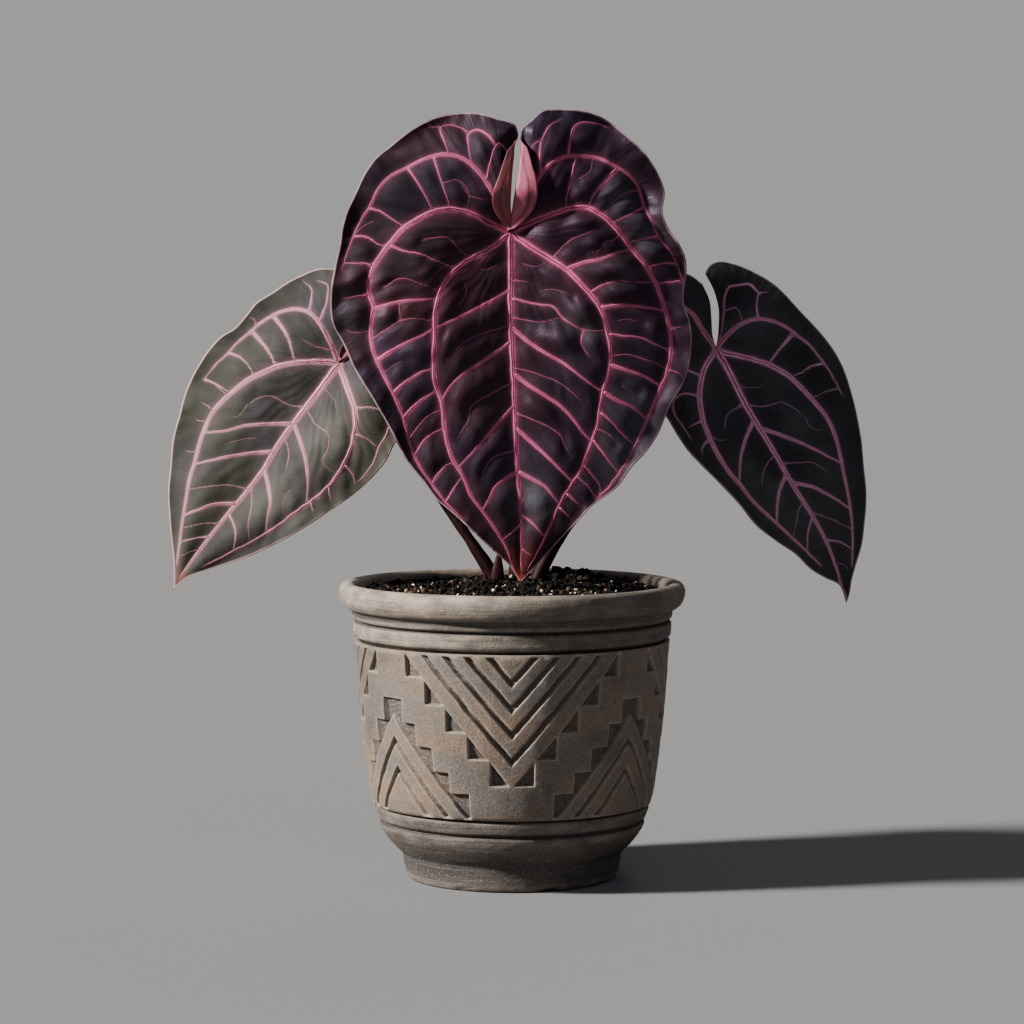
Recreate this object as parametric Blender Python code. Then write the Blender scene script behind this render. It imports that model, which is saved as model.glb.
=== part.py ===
"""A potted crystallinum anthurium: three heart-shaped blades on stalks, in a carved fired-clay pot.

Metres, +Z up, the front of the plant towards -Y. The origin is the centre of the pot's flat base.
Sizes below are written in millimetres and multiplied by MM where a mesh is made.
"""

import math
from dataclasses import dataclass

import bmesh
import bpy
import numpy as np
from mathutils.geometry import delaunay_2d_cdt

MM = 0.001
GAP = 0.3

# Pot, as (radius, height): up the outside to the frieze, then from the frieze over the rim and down the inside.
FOOT_AND_BAND = [
    (0.0, 0.0), (48.6, 0.0), (50.7, 11.4), (52.2, 12.8), (56.8, 17.2), (60.0, 21.9), (61.5, 25.9), (60.2, 26.9),
    (61.8, 28.1), (63.6, 33.3), (62.3, 34.2), (64.4, 35.0),
]
COLLAR_AND_RIM = [
    (73.0, 110.3), (71.2, 111.7), (73.2, 113.4), (73.5, 118.7), (72.2, 120.0), (73.3, 121.4), (74.9, 124.2),
    (78.8, 127.6), (80.2, 132.3), (78.9, 136.0), (75.6, 137.0), (72.4, 135.6),
]
POT_INSIDE = [(71.2, 131.0), (66.5, 112.0), (62.0, 62.0), (54.0, 24.0), (42.0, 9.0)]
POT_FLOOR = 9.0
BARREL = [(35.0, 64.4), (40.5, 65.9), (54.0, 67.7), (67.0, 69.4), (81.0, 70.9), (92.0, 71.6), (110.3, 73.0)]
POT_COLUMNS = 40
REPEATS = 4
CARVER_DRIFT = 6.4  # degrees: the front panels are spaced wider than the back ones

# Frieze, as angle from a panel's centre in degrees and height in millimetres.
FRIEZE_LOW, FRIEZE_HIGH = 35.0, 110.3
CARVED_DEPTH = 2.0
GROOVE_HIGH = 109.2
GROOVE_RISE = 4.0
STEP_ANGLE, STEP_RISE = 7.5, 12.0
STEP_COUNT = 5
WIDEST_STEP, HIGHEST_TREAD = 37.5, 99.0
CHEVRON_TIP = 49.7
CHEVRON_GROOVES = [97.6, 85.9, 74.1, 62.0]
PEAK_SLOPE = 12.0 / 7.6
PEAK_TOP = 80.5
PEAK_GROOVES = [69.1, 55.5]
PEAK_STEPS = [(4.7, 88.2), (10.3, 77.7), (16.7, 67.3), (22.9, 56.5), (30.0, 47.0)]
PEAK_LOW = 35.8
FRIEZE_LEVELS = [72.0]
ARC_PER_DEGREE = 1.22

DRAIN_RADIUS, DRAIN_CIRCLE = 4.5, 24.0

# Potting mix.
SOIL_LEVEL, SOIL_MOUND, SOIL_MOUND_RADIUS = 130.6, 5.2, 34.0
SOIL_RINGS = [70.6, 58.0, 44.0, 30.0, 14.0]

# Stalks: centre lines from below the soil to the blade, then radii at the foot, above the sheath and at the blade.
STALK_SIDES = 8
STALK_RINGS = 20
STALK_RADII = (3.1, 2.1, 1.9)
STALK_ROUTES = {
    "centre": [(1.4, 7.0, 122.0), (2.0, 7.5, 138.0), (3.0, 13.0, 180.0), (2.5, 16.0, 225.0), (1.0, 8.0, 268.0)],
    "left": [(-7.2, 5.0, 122.0), (-9.4, 6.5, 139.0), (-17.2, 8.5, 152.0), (-27.0, 12.0, 166.0),
             (-48.0, 21.0, 195.0), (-67.0, 26.5, 221.0)],
    "right": [(9.8, 5.0, 122.0), (12.6, 6.5, 139.0), (20.0, 9.0, 153.0), (30.0, 13.0, 167.0),
              (55.0, 24.0, 197.0), (80.0, 31.0, 226.0)],
}
STALK_STANDOFF = 2.1  # from the middle of the blade to the stalk's end, behind the ribs

# Crown: a stub of stem with sheath leaves round it.
CROWN_PLACE = (-1.0, -6.0)
CROWN_PROFILE = [(0.0, 121.0), (4.2, 121.5), (5.2, 128.0), (5.0, 136.0), (3.6, 139.5), (0.0, 141.0)]
SHEATHS = [
    [(-2.0, -5.8, 134.0), (-4.2, -5.4, 140.5), (-6.2, -4.6, 146.0), (-5.4, -3.8, 151.0)],
    [(0.0, -6.4, 134.0), (2.4, -7.0, 140.5), (4.6, -7.2, 145.5), (4.4, -6.6, 149.5)],
]
SHEATH_WIDTH, SHEATH_DEPTH = 2.6, 1.3

BLADE_THICKNESS = 0.8
FIELD_STEP, FIELD_CLEAR = 10.0, 3.0
RIB_STEP = 12.0
RIB_RISE = (0.30, 0.50)  # height of a vein over the blade: at no width, and for each millimetre of half width
BACK_RISE = 0.8  # the veins stand this much less on the back
FOLD_RADIUS = 1.5


@dataclass(frozen=True)
class Leaf:
    """One blade. Points are (across, up) from its joint with the stalk, as seen from the front."""

    name: str
    joint: tuple
    lean: tuple  # how far the blade goes back for each millimetre across and up
    arch: float  # how far the tip and lobes bend, in millimetres at 100 mm from the joint
    bulge: float
    droop: float
    wave: float
    waves: int
    left: list
    right: list
    left_sinus: list
    right_sinus: list
    midrib: list
    ribs: list  # (half width at the start, points)
    flaps: tuple  # length of the rolled margin on the left and right of the sinus
    margin_step: float
    color: tuple


CENTRE_LEAF = Leaf(
    name="centre",
    joint=(-0.6, -14.0, 297.6),
    lean=(0.0, 0.11),
    arch=3.0,
    bulge=6.0,
    droop=5.0,
    wave=1.8,
    waves=11,
    left=[
        (3.5, 45.0), (0.0, 50.0), (-5.5, 51.5), (-13.5, 54.0), (-20.0, 54.5), (-27.5, 54.0), (-36.5, 51.5),
        (-50.5, 43.0), (-61.0, 34.5), (-65.5, 28.5), (-71.5, 16.5), (-77.0, 2.0), (-80.0, -15.0), (-82.0, -30.5),
        (-80.5, -43.0), (-71.5, -61.0), (-52.0, -94.5), (-39.5, -113.5), (-28.0, -126.0), (-9.0, -143.5),
        (-0.5, -151.5), (4.5, -157.5),
    ],
    right=[
        (5.0, 46.5), (8.5, 50.0), (15.0, 55.5), (21.0, 56.0), (31.5, 55.5), (40.5, 53.0), (54.5, 42.5),
        (64.0, 32.0), (70.0, 19.0), (69.0, 9.0), (77.0, -6.0), (80.0, -18.5), (78.5, -30.0), (82.0, -43.5),
        (81.0, -60.5), (73.0, -77.5), (62.0, -99.0), (48.5, -115.5), (36.5, -124.5), (31.5, -130.0),
        (17.5, -145.0), (10.5, -152.5), (4.5, -157.5),
    ],
    left_sinus=[(3.5, 45.0), (1.0, 42.0), (-0.5, 33.0), (-1.5, 21.5), (-1.8, 11.0), (0.0, 0.0)],
    right_sinus=[(5.0, 46.5), (6.2, 42.0), (5.4, 29.0), (3.2, 15.0), (1.8, 6.5), (0.0, 0.0)],
    midrib=[(0.0, 0.0), (0.0, -37.0), (1.0, -62.0), (2.0, -87.5), (4.0, -120.0), (5.0, -143.5), (4.5, -157.5)],
    ribs=[
        (1.9, [(0.0, 1.0), (0.0, -37.0), (1.0, -62.0), (2.0, -87.5), (4.0, -120.0), (5.0, -143.5), (4.7, -154.0)]),
        (1.7, [(0.0, 0.0), (-9.5, -7.5), (-25.0, -16.5), (-32.5, -28.0), (-35.0, -62.0), (-31.0, -77.0),
               (-27.0, -101.5), (-18.0, -119.5), (-3.5, -139.5), (2.5, -151.0)]),
        (1.7, [(0.0, 0.0), (-10.0, 4.5), (-26.0, 10.5), (-48.5, 2.0), (-62.5, -15.5), (-63.5, -53.0),
               (-53.0, -73.0), (-46.0, -95.5), (-37.0, -112.0), (-23.0, -129.5)]),
        (1.4, [(0.0, 0.0), (-4.5, 9.0), (-12.0, 24.0), (-28.0, 35.5), (-46.5, 29.0), (-61.0, 19.5),
               (-68.0, 6.5), (-76.5, -16.0)]),
        (1.7, [(0.0, 0.0), (8.5, -6.0), (25.5, -17.0), (40.5, -34.5), (45.5, -58.0), (41.0, -80.0),
               (34.5, -100.5), (22.0, -124.0), (8.0, -150.0)]),
        (1.7, [(0.0, 0.0), (11.5, 5.5), (34.5, 11.5), (54.5, -7.5), (68.5, -30.5), (72.5, -52.0),
               (68.0, -70.0), (56.5, -97.0), (39.5, -120.0)]),
        (1.4, [(0.0, 0.0), (5.0, 8.5), (12.0, 24.0), (26.0, 35.0), (48.0, 28.5), (61.0, 12.5), (68.0, -4.0),
               (77.5, -21.0)]),
        (1.0, [(0.3, -26.0), (-18.5, -36.0), (-33.5, -43.0)]),
        (1.0, [(1.0, -49.5), (-15.0, -60.0), (-25.5, -67.5), (-31.0, -76.5)]),
        (1.0, [(2.0, -78.5), (-8.0, -89.0), (-24.0, -107.0)]),
        (1.0, [(3.0, -108.5), (-7.5, -116.0), (-13.5, -126.0)]),
        (0.9, [(1.0, -29.5), (20.0, -34.0), (27.5, -41.5), (42.5, -44.5)]),
        (1.0, [(1.0, -43.5), (16.5, -55.0), (44.0, -73.5)]),
        (1.0, [(1.5, -64.5), (23.0, -79.0), (37.5, -95.5)]),
        (1.0, [(2.5, -89.5), (18.0, -103.0), (28.5, -114.0)]),
        (0.9, [(4.0, -108.0), (16.0, -115.5), (23.5, -124.0)]),
        (0.9, [(-26.0, -15.5), (-41.5, -9.5), (-55.0, -7.0)]),
        (1.0, [(-34.0, -29.5), (-47.5, -31.0), (-63.5, -35.0)]),
        (0.9, [(-35.0, -42.5), (-45.5, -49.0), (-61.5, -58.5)]),
        (0.9, [(-34.5, -62.0), (-45.0, -66.0), (-54.0, -74.0)]),
        (0.8, [(-29.5, -79.5), (-42.5, -87.0), (-46.5, -95.0)]),
        (0.9, [(25.5, -16.5), (41.0, -12.0), (55.5, -7.5)]),
        (0.9, [(35.5, -26.5), (49.5, -22.0), (66.5, -23.0)]),
        (1.0, [(39.5, -34.0), (57.0, -33.5), (70.0, -36.0)]),
        (1.0, [(44.0, -60.0), (51.5, -62.0), (69.5, -70.5)]),
        (1.0, [(41.0, -71.5), (54.0, -78.5), (63.0, -85.5)]),
        (0.8, [(36.0, -93.5), (46.5, -106.0), (49.5, -110.5)]),
        (0.8, [(-26.0, 10.0), (-31.5, 23.0), (-35.0, 34.0)]),
        (0.9, [(-34.5, 10.0), (-40.0, 19.0), (-47.5, 29.5)]),
        (0.9, [(34.5, 11.0), (42.0, 22.5), (49.0, 29.5)]),
        (0.8, [(25.5, 10.5), (27.0, 23.0), (30.0, 35.0)]),
    ],
    flaps=(11.7, 12.7),
    margin_step=7.5,
    color=(0.020, 0.008, 0.018, 1.0),
)

LEFT_LEAF = Leaf(
    name="left",
    joint=(-80.5, 14.0, 237.2),
    lean=(-0.25, 0.20),
    arch=4.0,
    bulge=4.0,
    droop=3.0,
    wave=1.0,
    waves=7,
    left=[
        (15.5, 34.0), (11.0, 40.0), (-3.0, 44.0), (-17.0, 41.5), (-32.5, 32.5), (-44.5, 22.0), (-56.0, 12.5),
        (-65.5, 1.0), (-73.0, -14.5), (-78.5, -35.5), (-80.5, -62.0), (-79.0, -81.0), (-77.5, -95.0),
        (-77.5, -105.5),
    ],
    right=[
        (26.0, 23.5), (34.5, 22.0), (41.0, 14.5), (43.5, 3.5), (42.5, -9.0), (37.5, -23.0), (26.5, -36.0),
        (15.5, -52.5), (-3.5, -67.5), (-27.5, -82.5), (-52.0, -93.0), (-70.5, -99.5), (-77.5, -105.5),
    ],
    left_sinus=[(15.5, 34.0), (15.5, 26.5), (11.5, 18.5), (6.5, 12.5), (0.0, 0.0)],
    right_sinus=[(26.0, 23.5), (16.5, 17.5), (9.0, 11.0), (0.0, 0.0)],
    midrib=[(0.0, 0.0), (-18.5, -24.5), (-34.5, -49.0), (-51.5, -69.5), (-69.0, -92.0), (-77.5, -105.5)],
    ribs=[
        (1.6, [(0.5, 0.7), (-18.5, -24.5), (-34.5, -49.0), (-51.5, -69.5), (-75.0, -100.5)]),
        (1.4, [(0.0, 0.0), (-20.0, 0.5), (-43.0, -8.0), (-60.0, -23.5), (-67.0, -45.5), (-72.0, -65.0),
               (-76.0, -97.0)]),
        (1.2, [(0.0, 0.0), (-8.5, 18.5), (-20.5, 25.0), (-41.0, 14.0), (-51.5, 4.5), (-65.0, -9.0)]),
        (1.4, [(0.0, 0.0), (7.5, -19.0), (8.0, -32.5), (-2.0, -53.5), (-27.5, -75.0), (-66.0, -95.5)]),
        (1.2, [(0.0, 0.0), (15.5, 10.5), (31.5, 6.0), (33.0, -8.0), (25.0, -25.5)]),
        (0.8, [(-20.0, -27.5), (-44.0, -29.0), (-62.5, -32.5)]),
        (0.8, [(-29.5, -40.0), (-55.0, -44.0), (-67.0, -48.0)]),
        (0.8, [(-48.0, -64.0), (-65.5, -68.0), (-72.5, -71.0)]),
        (0.8, [(-19.5, -29.0), (-15.0, -44.5), (-16.0, -65.0)]),
        (0.8, [(-34.0, -48.5), (-31.5, -64.0), (-34.0, -78.5)]),
        (0.7, [(-31.5, 22.0), (-24.5, 13.5), (-20.5, 1.0)]),
        (0.7, [(-41.0, 14.5), (-34.0, 7.0), (-29.0, -1.0)]),
    ],
    flaps=(0.0, 0.0),
    margin_step=9.0,
    color=(0.052, 0.058, 0.044, 1.0),
)

RIGHT_LEAF = Leaf(
    name="right",
    joint=(95.0, 16.0, 243.7),
    lean=(0.25, 0.20),
    arch=4.0,
    bulge=4.0,
    droop=3.0,
    wave=1.0,
    waves=7,
    left=[
        (-8.5, 29.5), (-13.5, 34.5), (-22.5, 36.0), (-31.0, 33.0), (-36.5, 25.5), (-40.0, 14.5), (-39.5, 0.5),
        (-31.0, -22.5), (-19.0, -38.5), (-7.5, -53.0), (10.0, -71.0), (28.0, -89.0), (44.0, -102.0),
        (57.5, -109.5), (61.0, -118.0),
    ],
    right=[
        (-5.0, 35.5), (-3.0, 39.0), (6.0, 40.5), (18.5, 36.0), (33.5, 25.0), (48.5, 9.0), (60.0, -7.5),
        (67.0, -31.0), (71.0, -61.0), (70.0, -81.0), (65.5, -101.0), (61.0, -118.0),
    ],
    left_sinus=[(-8.5, 29.5), (-5.5, 22.0), (-4.8, 14.5), (-3.2, 6.0), (0.0, 0.0)],
    right_sinus=[(-5.0, 35.5), (-0.8, 27.5), (2.0, 19.5), (2.5, 10.0), (0.0, 0.0)],
    midrib=[(0.0, 0.0), (14.0, -26.5), (32.5, -57.5), (45.0, -77.5), (55.5, -99.5), (61.0, -118.0)],
    ribs=[
        (1.5, [(-0.4, 0.8), (14.0, -26.5), (32.5, -57.5), (45.0, -77.5), (55.5, -99.5), (60.0, -113.5)]),
        (1.3, [(0.0, 0.0), (18.0, -4.5), (39.5, -17.5), (56.0, -40.0), (62.5, -72.0), (64.0, -103.0)]),
        (1.2, [(0.0, 0.0), (5.5, 7.0), (19.5, 14.0), (38.0, 6.0), (50.0, -6.0), (61.5, -24.0)]),
        (1.3, [(0.0, 0.0), (-8.0, -16.0), (-6.5, -32.5), (7.0, -58.5), (28.0, -79.5), (51.0, -102.0)]),
        (1.2, [(0.0, 0.0), (-5.5, 7.5), (-20.0, 20.5), (-30.0, 13.5), (-30.5, -4.0), (-22.0, -22.0)]),
        (0.8, [(21.0, -35.0), (41.0, -44.0), (59.0, -53.5)]),
        (0.8, [(35.0, -61.0), (54.0, -68.5), (64.0, -75.5)]),
        (0.8, [(17.5, -32.0), (11.5, -47.0), (11.0, -62.0)]),
        (0.8, [(32.5, -58.0), (29.0, -67.0), (28.5, -80.5)]),
        (0.8, [(37.0, 6.5), (30.0, 0.5), (24.0, -7.5)]),
        (0.7, [(-8.0, -20.5), (-18.5, -21.5), (-20.0, -28.5), (-10.0, -44.0)]),
    ],
    flaps=(0.0, 0.0),
    margin_step=9.0,
    color=(0.014, 0.018, 0.018, 1.0),
)

LEAVES = [CENTRE_LEAF, LEFT_LEAF, RIGHT_LEAF]


def clear_scene():
    """Removes every object that the file opened with."""
    for item in list(bpy.data.objects):
        bpy.data.objects.remove(item, do_unlink=True)


def finish(name, color, roughness):
    """A plain Principled material."""
    material = bpy.data.materials.new(name)
    material.use_nodes = True
    shader = material.node_tree.nodes["Principled BSDF"]
    shader.inputs["Base Color"].default_value = color
    shader.inputs["Roughness"].default_value = roughness
    shader.inputs["Metallic"].default_value = 0.0
    return material


def object_from(name, points, faces, material, sharp_degrees=35.0):
    """One object from points in millimetres, with doubled points made one and round faces smooth."""
    mesh = bpy.data.meshes.new(name)
    mesh.from_pydata((np.asarray(points) * MM).tolist(), [], [list(map(int, face)) for face in faces])
    shape = bmesh.new()
    shape.from_mesh(mesh)
    bmesh.ops.remove_doubles(shape, verts=shape.verts, dist=1e-6)
    bmesh.ops.dissolve_degenerate(shape, edges=shape.edges, dist=1e-7)
    shape.to_mesh(mesh)
    shape.free()
    mesh.materials.append(material)
    mesh.shade_smooth()
    mesh.set_sharp_from_angle(angle=math.radians(sharp_degrees))
    item = bpy.data.objects.new(name, mesh)
    bpy.context.scene.collection.objects.link(item)
    return item


def join_all(body, pieces):
    """Makes the pieces one solid with the body, then removes them."""
    group = bpy.data.collections.new(body.name + "_pieces")
    bpy.context.scene.collection.children.link(group)
    for piece in pieces:
        bpy.context.scene.collection.objects.unlink(piece)
        group.objects.link(piece)
    apply_boolean(body, "UNION", group)
    for piece in pieces:
        bpy.data.objects.remove(piece, do_unlink=True)
    bpy.data.collections.remove(group)


def apply_boolean(body, operation, group):
    """Applies one Boolean of a whole collection to the body."""
    modifier = body.modifiers.new(operation.title(), "BOOLEAN")
    modifier.operation = operation
    modifier.operand_type = "COLLECTION"
    modifier.collection = group
    modifier.solver = "MANIFOLD"
    bpy.context.view_layer.objects.active = body
    bpy.ops.object.modifier_apply(modifier=modifier.name)


def cut_all(body, cutters):
    """Cuts the cutters out of the body, then removes them."""
    group = bpy.data.collections.new(body.name + "_cutters")
    bpy.context.scene.collection.children.link(group)
    for cutter in cutters:
        bpy.context.scene.collection.objects.unlink(cutter)
        group.objects.link(cutter)
    apply_boolean(body, "DIFFERENCE", group)
    for cutter in cutters:
        bpy.data.objects.remove(cutter, do_unlink=True)
    bpy.data.collections.remove(group)


def smooth_path(points, count):
    """Evenly spaced points on a cubic curve through the given ones."""
    knots = np.array(points, float)
    chord = np.concatenate([[0.0], np.cumsum(np.linalg.norm(np.diff(knots, axis=0), axis=1))])
    slope = np.gradient(knots, chord, axis=0)
    at = np.linspace(0.0, chord[-1], 16 * len(knots))
    i = np.clip(np.searchsorted(chord, at, side="right") - 1, 0, len(knots) - 2)
    span = (chord[i + 1] - chord[i])[:, None]
    f = (at[:, None] - chord[i][:, None]) / span
    curve = (
        (2 * f**3 - 3 * f**2 + 1) * knots[i]
        + (f**3 - 2 * f**2 + f) * span * slope[i]
        + (3 * f**2 - 2 * f**3) * knots[i + 1]
        + (f**3 - f**2) * span * slope[i + 1]
    )
    length = np.concatenate([[0.0], np.cumsum(np.linalg.norm(np.diff(curve, axis=0), axis=1))])
    even = np.linspace(0.0, length[-1], count)
    return np.stack([np.interp(even, length, curve[:, k]) for k in range(knots.shape[1])], axis=1)


def nearest(points, path):
    """Distance of each point to a polyline in the plane of the front view, and the share of the line passed there."""
    start, step = path[:-1], np.diff(path, axis=0)
    length = np.maximum(np.linalg.norm(step, axis=1), 1e-9)
    offset = points[:, None, :] - start[None]
    along = np.clip((offset * step).sum(axis=2) / length**2, 0.0, 1.0)
    gap = np.linalg.norm(offset - along[..., None] * step, axis=2)
    best = gap.argmin(axis=1)
    at = np.arange(len(points))
    passed = np.concatenate([[0.0], np.cumsum(length)])[best] + along[at, best] * length[best]
    return gap[at, best], passed / length.sum()


def tube(points, widths, depths, sides, across=None):
    """A closed tube along a path: rings with their own half width and half depth, and a flat fan at each end."""
    path = np.asarray(points, float)
    tangent = np.gradient(path, axis=0)
    tangent /= np.linalg.norm(tangent, axis=1)[:, None]
    guide = np.array([0.0, 1.0, 0.0]) if across is None else np.asarray(across, float)
    side = np.cross(tangent, guide)
    side /= np.linalg.norm(side, axis=1)[:, None]
    up = np.cross(tangent, side)
    turn = 2 * math.pi * np.arange(sides) / sides
    rings = (
        path[:, None]
        + np.cos(turn)[None, :, None] * np.asarray(widths)[:, None, None] * side[:, None]
        + np.sin(turn)[None, :, None] * np.asarray(depths)[:, None, None] * up[:, None]
    )
    verts = np.concatenate([rings.reshape(-1, 3), path[:1], path[-1:]])
    faces = []
    for i in range(len(path) - 1):
        for j in range(sides):
            k = (j + 1) % sides
            faces.append((i * sides + j, i * sides + k, (i + 1) * sides + k, (i + 1) * sides + j))
    first, last = len(verts) - 2, len(verts) - 1
    base = (len(path) - 1) * sides
    for j in range(sides):
        k = (j + 1) % sides
        faces.append((first, k, j))
        faces.append((last, base + j, base + k))
    return verts, faces


def turned(profile, angles, place=(0.0, 0.0)):
    """Rings of a turned outside, from the lowest point to the highest, with a fan where the radius is nought."""
    verts, faces, rings = [], [], []
    for radius, height in profile:
        if radius == 0.0:
            rings.append([len(verts)])
            verts.append((place[0], place[1], height))
            continue
        rings.append(list(range(len(verts), len(verts) + len(angles))))
        verts += [(place[0] + radius * math.sin(a), place[1] - radius * math.cos(a), height) for a in angles]
    count = len(angles)
    for low, high in zip(rings, rings[1:]):
        for j in range(count):
            k = (j + 1) % count
            if len(low) == 1:
                faces.append((low[0], high[k], high[j]))
            elif len(high) == 1:
                faces.append((low[j], low[k], high[0]))
            else:
                faces.append((low[j], low[k], high[k], high[j]))
    return verts, faces


def pot_angle(phase):
    """The real angle round the pot, in radians from the front, of a place in the evenly spaced pattern."""
    return math.radians(phase + CARVER_DRIFT * math.sin(math.radians(phase)))


def anticlockwise(outline):
    """The same outline, turned round if it runs clockwise."""
    after = outline[1:] + outline[:1]
    area = sum(a[0] * b[1] - b[0] * a[1] for a, b in zip(outline, after))
    return outline if area > 0 else outline[::-1]


def chevron(centre, tip, end, rise, slope):
    """One carved V or upturned V, as an outline: its tip, where its arms end, and its height on the slope."""
    way = 1.0 if end > tip else -1.0
    near, far = tip - way * rise / 2, tip + way * rise / 2
    wide, slim = abs(end - near) / slope, abs(end - far) / slope
    return [(centre - wide, end), (centre, near), (centre + wide, end), (centre + slim, end), (centre, far),
            (centre - slim, end)]


def step_pockets(centre):
    """The triangles carved between the stepped edge and the outer chevron, on both sides."""
    slope = STEP_RISE / STEP_ANGLE
    pockets = []
    for n in range(STEP_COUNT):
        edge = WIDEST_STEP - n * STEP_ANGLE
        tread = HIGHEST_TREAD - n * STEP_RISE
        meets = (tread - CHEVRON_TIP) / slope
        top = CHEVRON_TIP + slope * edge
        for side in (-1.0, 1.0):
            corners = [(centre + side * edge, tread), (centre + side * meets, tread), (centre + side * edge, top)]
            pockets.append(corners)
    return pockets


def peak_recess(centre):
    """The carved ground round the upturned chevron, between it and the steps above."""
    steps = []
    for n, (half, top) in enumerate(PEAK_STEPS):
        foot = PEAK_STEPS[n + 1][1] if n + 1 < len(PEAK_STEPS) else PEAK_LOW
        steps += [(half, top), (half, foot)]
    inner = (PEAK_TOP - PEAK_LOW) / PEAK_SLOPE
    left = [(centre - a, z) for a, z in reversed(steps)]
    right = [(centre + a, z) for a, z in steps]
    return left + right + [(centre + inner, PEAK_LOW), (centre, PEAK_TOP), (centre - inner, PEAK_LOW)]


def frieze_outlines():
    """Every carved area that touches one repeat, which runs from -45 to 45 degrees."""
    half = 180.0 / REPEATS
    slope = STEP_RISE / STEP_ANGLE
    areas = [chevron(0.0, tip, GROOVE_HIGH, GROOVE_RISE, slope) for tip in CHEVRON_GROOVES]
    areas += step_pockets(0.0)
    for centre in (-half, half):
        areas.append(peak_recess(centre))
        areas += [chevron(centre, tip, PEAK_LOW, GROOVE_RISE, PEAK_SLOPE) for tip in PEAK_GROOVES]
    return [anticlockwise(area) for area in areas]


def frieze_plan():
    """Triangles of one repeat in (degrees, millimetres), and whether each is carved."""
    half = 180.0 / REPEATS
    points, edges, areas = [], [], []
    for outline in frieze_outlines():
        first = len(points)
        points += [(angle * ARC_PER_DEGREE, height) for angle, height in outline]
        areas.append(list(range(first, len(points))))
    columns = POT_COLUMNS // REPEATS
    lines = [((-half + 2 * half * n / columns,) * 2, (FRIEZE_LOW, FRIEZE_HIGH)) for n in range(columns + 1)]
    lines += [((-half, half), (level, level)) for level in [FRIEZE_LOW, *FRIEZE_LEVELS, FRIEZE_HIGH]]
    for (a, b), (low, high) in lines:
        edges.append((len(points), len(points) + 1))
        points += [(a * ARC_PER_DEGREE, low), (b * ARC_PER_DEGREE, high)]
    found = delaunay_2d_cdt(points, edges, areas, 0, 1e-4)
    plan = np.array([(p[0] / ARC_PER_DEGREE, p[1]) for p in found[0]])
    faces, carved = [], []
    for face, origin in zip(found[2], found[5]):
        middle = plan[face].mean(axis=0)
        if abs(middle[0]) < half:
            faces.append(face)
            carved.append(bool(origin))
    return plan, faces, carved


def frieze_mesh():
    """The carved barrel: raised faces, carved floors and the walls between them, wrapped round the pot."""
    plan, faces, carved = frieze_plan()
    owners = {}
    for n, face in enumerate(faces):
        for a, b in zip(face, face[1:] + face[:1]):
            owners.setdefault(frozenset((a, b)), []).append((n, a, b))
    heights, radii = zip(*BARREL)
    verts, solid = [], []
    for turn in range(REPEATS):
        first = len(verts)
        for depth in (0.0, CARVED_DEPTH):
            for phase, height in plan:
                angle = pot_angle(round(phase, 4) + turn * 360.0 / REPEATS)
                radius = float(np.interp(height, heights, radii)) - depth
                verts.append((radius * math.sin(angle), -radius * math.cos(angle), height))
        floor = first + len(plan)
        for face, low in zip(faces, carved):
            solid.append(tuple((floor if low else first) + i for i in face))
        for pair in owners.values():
            if len(pair) == 2 and carved[pair[0][0]] != carved[pair[1][0]]:
                _, a, b = pair[0] if carved[pair[0][0]] else pair[1]
                solid.append((floor + b, floor + a, first + a))
                solid.append((floor + b, first + a, first + b))
    return verts, solid


def make_pot(material):
    """The pot: turned rings below and above the frieze, the frieze itself, the inside and three drain holes."""
    angles = [pot_angle(360.0 * n / POT_COLUMNS) for n in range(POT_COLUMNS)]
    verts, faces = [], []
    inside = [(radius, height) for radius, height in POT_INSIDE] + [(0.0, POT_FLOOR)]
    for part in (turned(FOOT_AND_BAND, angles), frieze_mesh(), turned(COLLAR_AND_RIM + inside, angles)):
        first = len(verts)
        verts += part[0]
        faces += [tuple(first + i for i in face) for face in part[1]]
    pot = object_from("pot", verts, faces, material, 28.0)
    drains = []
    for n in range(3):
        place = 2 * math.pi * (n + 0.5) / 3
        middle = (DRAIN_CIRCLE * math.sin(place), DRAIN_CIRCLE * math.cos(place))
        around = [2 * math.pi * k / 16 for k in range(16)]
        profile = [(0.0, -2.0), (DRAIN_RADIUS, -2.0), (DRAIN_RADIUS, POT_FLOOR + 2.0), (0.0, POT_FLOOR + 2.0)]
        drains.append(object_from(f"drain_{n}", *turned(profile, around, middle), material))
    cut_all(pot, drains)
    return pot


def soil_height(x, y):
    """The top of the mix: level at the wall, heaped at the stalks, with clods made of a few crossed waves."""
    heap = SOIL_MOUND * np.exp(-(x**2 + y**2) / SOIL_MOUND_RADIUS**2)
    clods = 0.7 * np.sin(0.23 * x + 1.3) * np.cos(0.19 * y - 0.4) + 0.5 * np.sin(0.41 * x - 0.37 * y)
    back = 1.6 * np.exp(-((x - 26.0) ** 2 + (y - 44.0) ** 2) / 18.0**2)
    return SOIL_LEVEL + heap + clods + back


def make_soil(material, holes):
    """The potting mix, with a plain hole for each stalk and the crown."""
    angles = [2 * math.pi * n / POT_COLUMNS for n in range(POT_COLUMNS)]
    wall = [(radius - GAP, height) for radius, height in reversed(POT_INSIDE[1:])]
    low = POT_FLOOR + GAP
    profile = [(0.0, low), (wall[0][0], low)] + wall[1:]
    rings = [(radius, SOIL_LEVEL) for radius in SOIL_RINGS] + [(0.0, SOIL_LEVEL)]
    verts, faces = turned(profile + rings, angles)
    points = np.array(verts)
    top = points[:, 2] == SOIL_LEVEL
    points[top, 2] = soil_height(points[top, 0], points[top, 1])
    soil = object_from("potting_mix", points, faces, material, 60.0)
    cut_all(soil, holes)
    return soil


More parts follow.
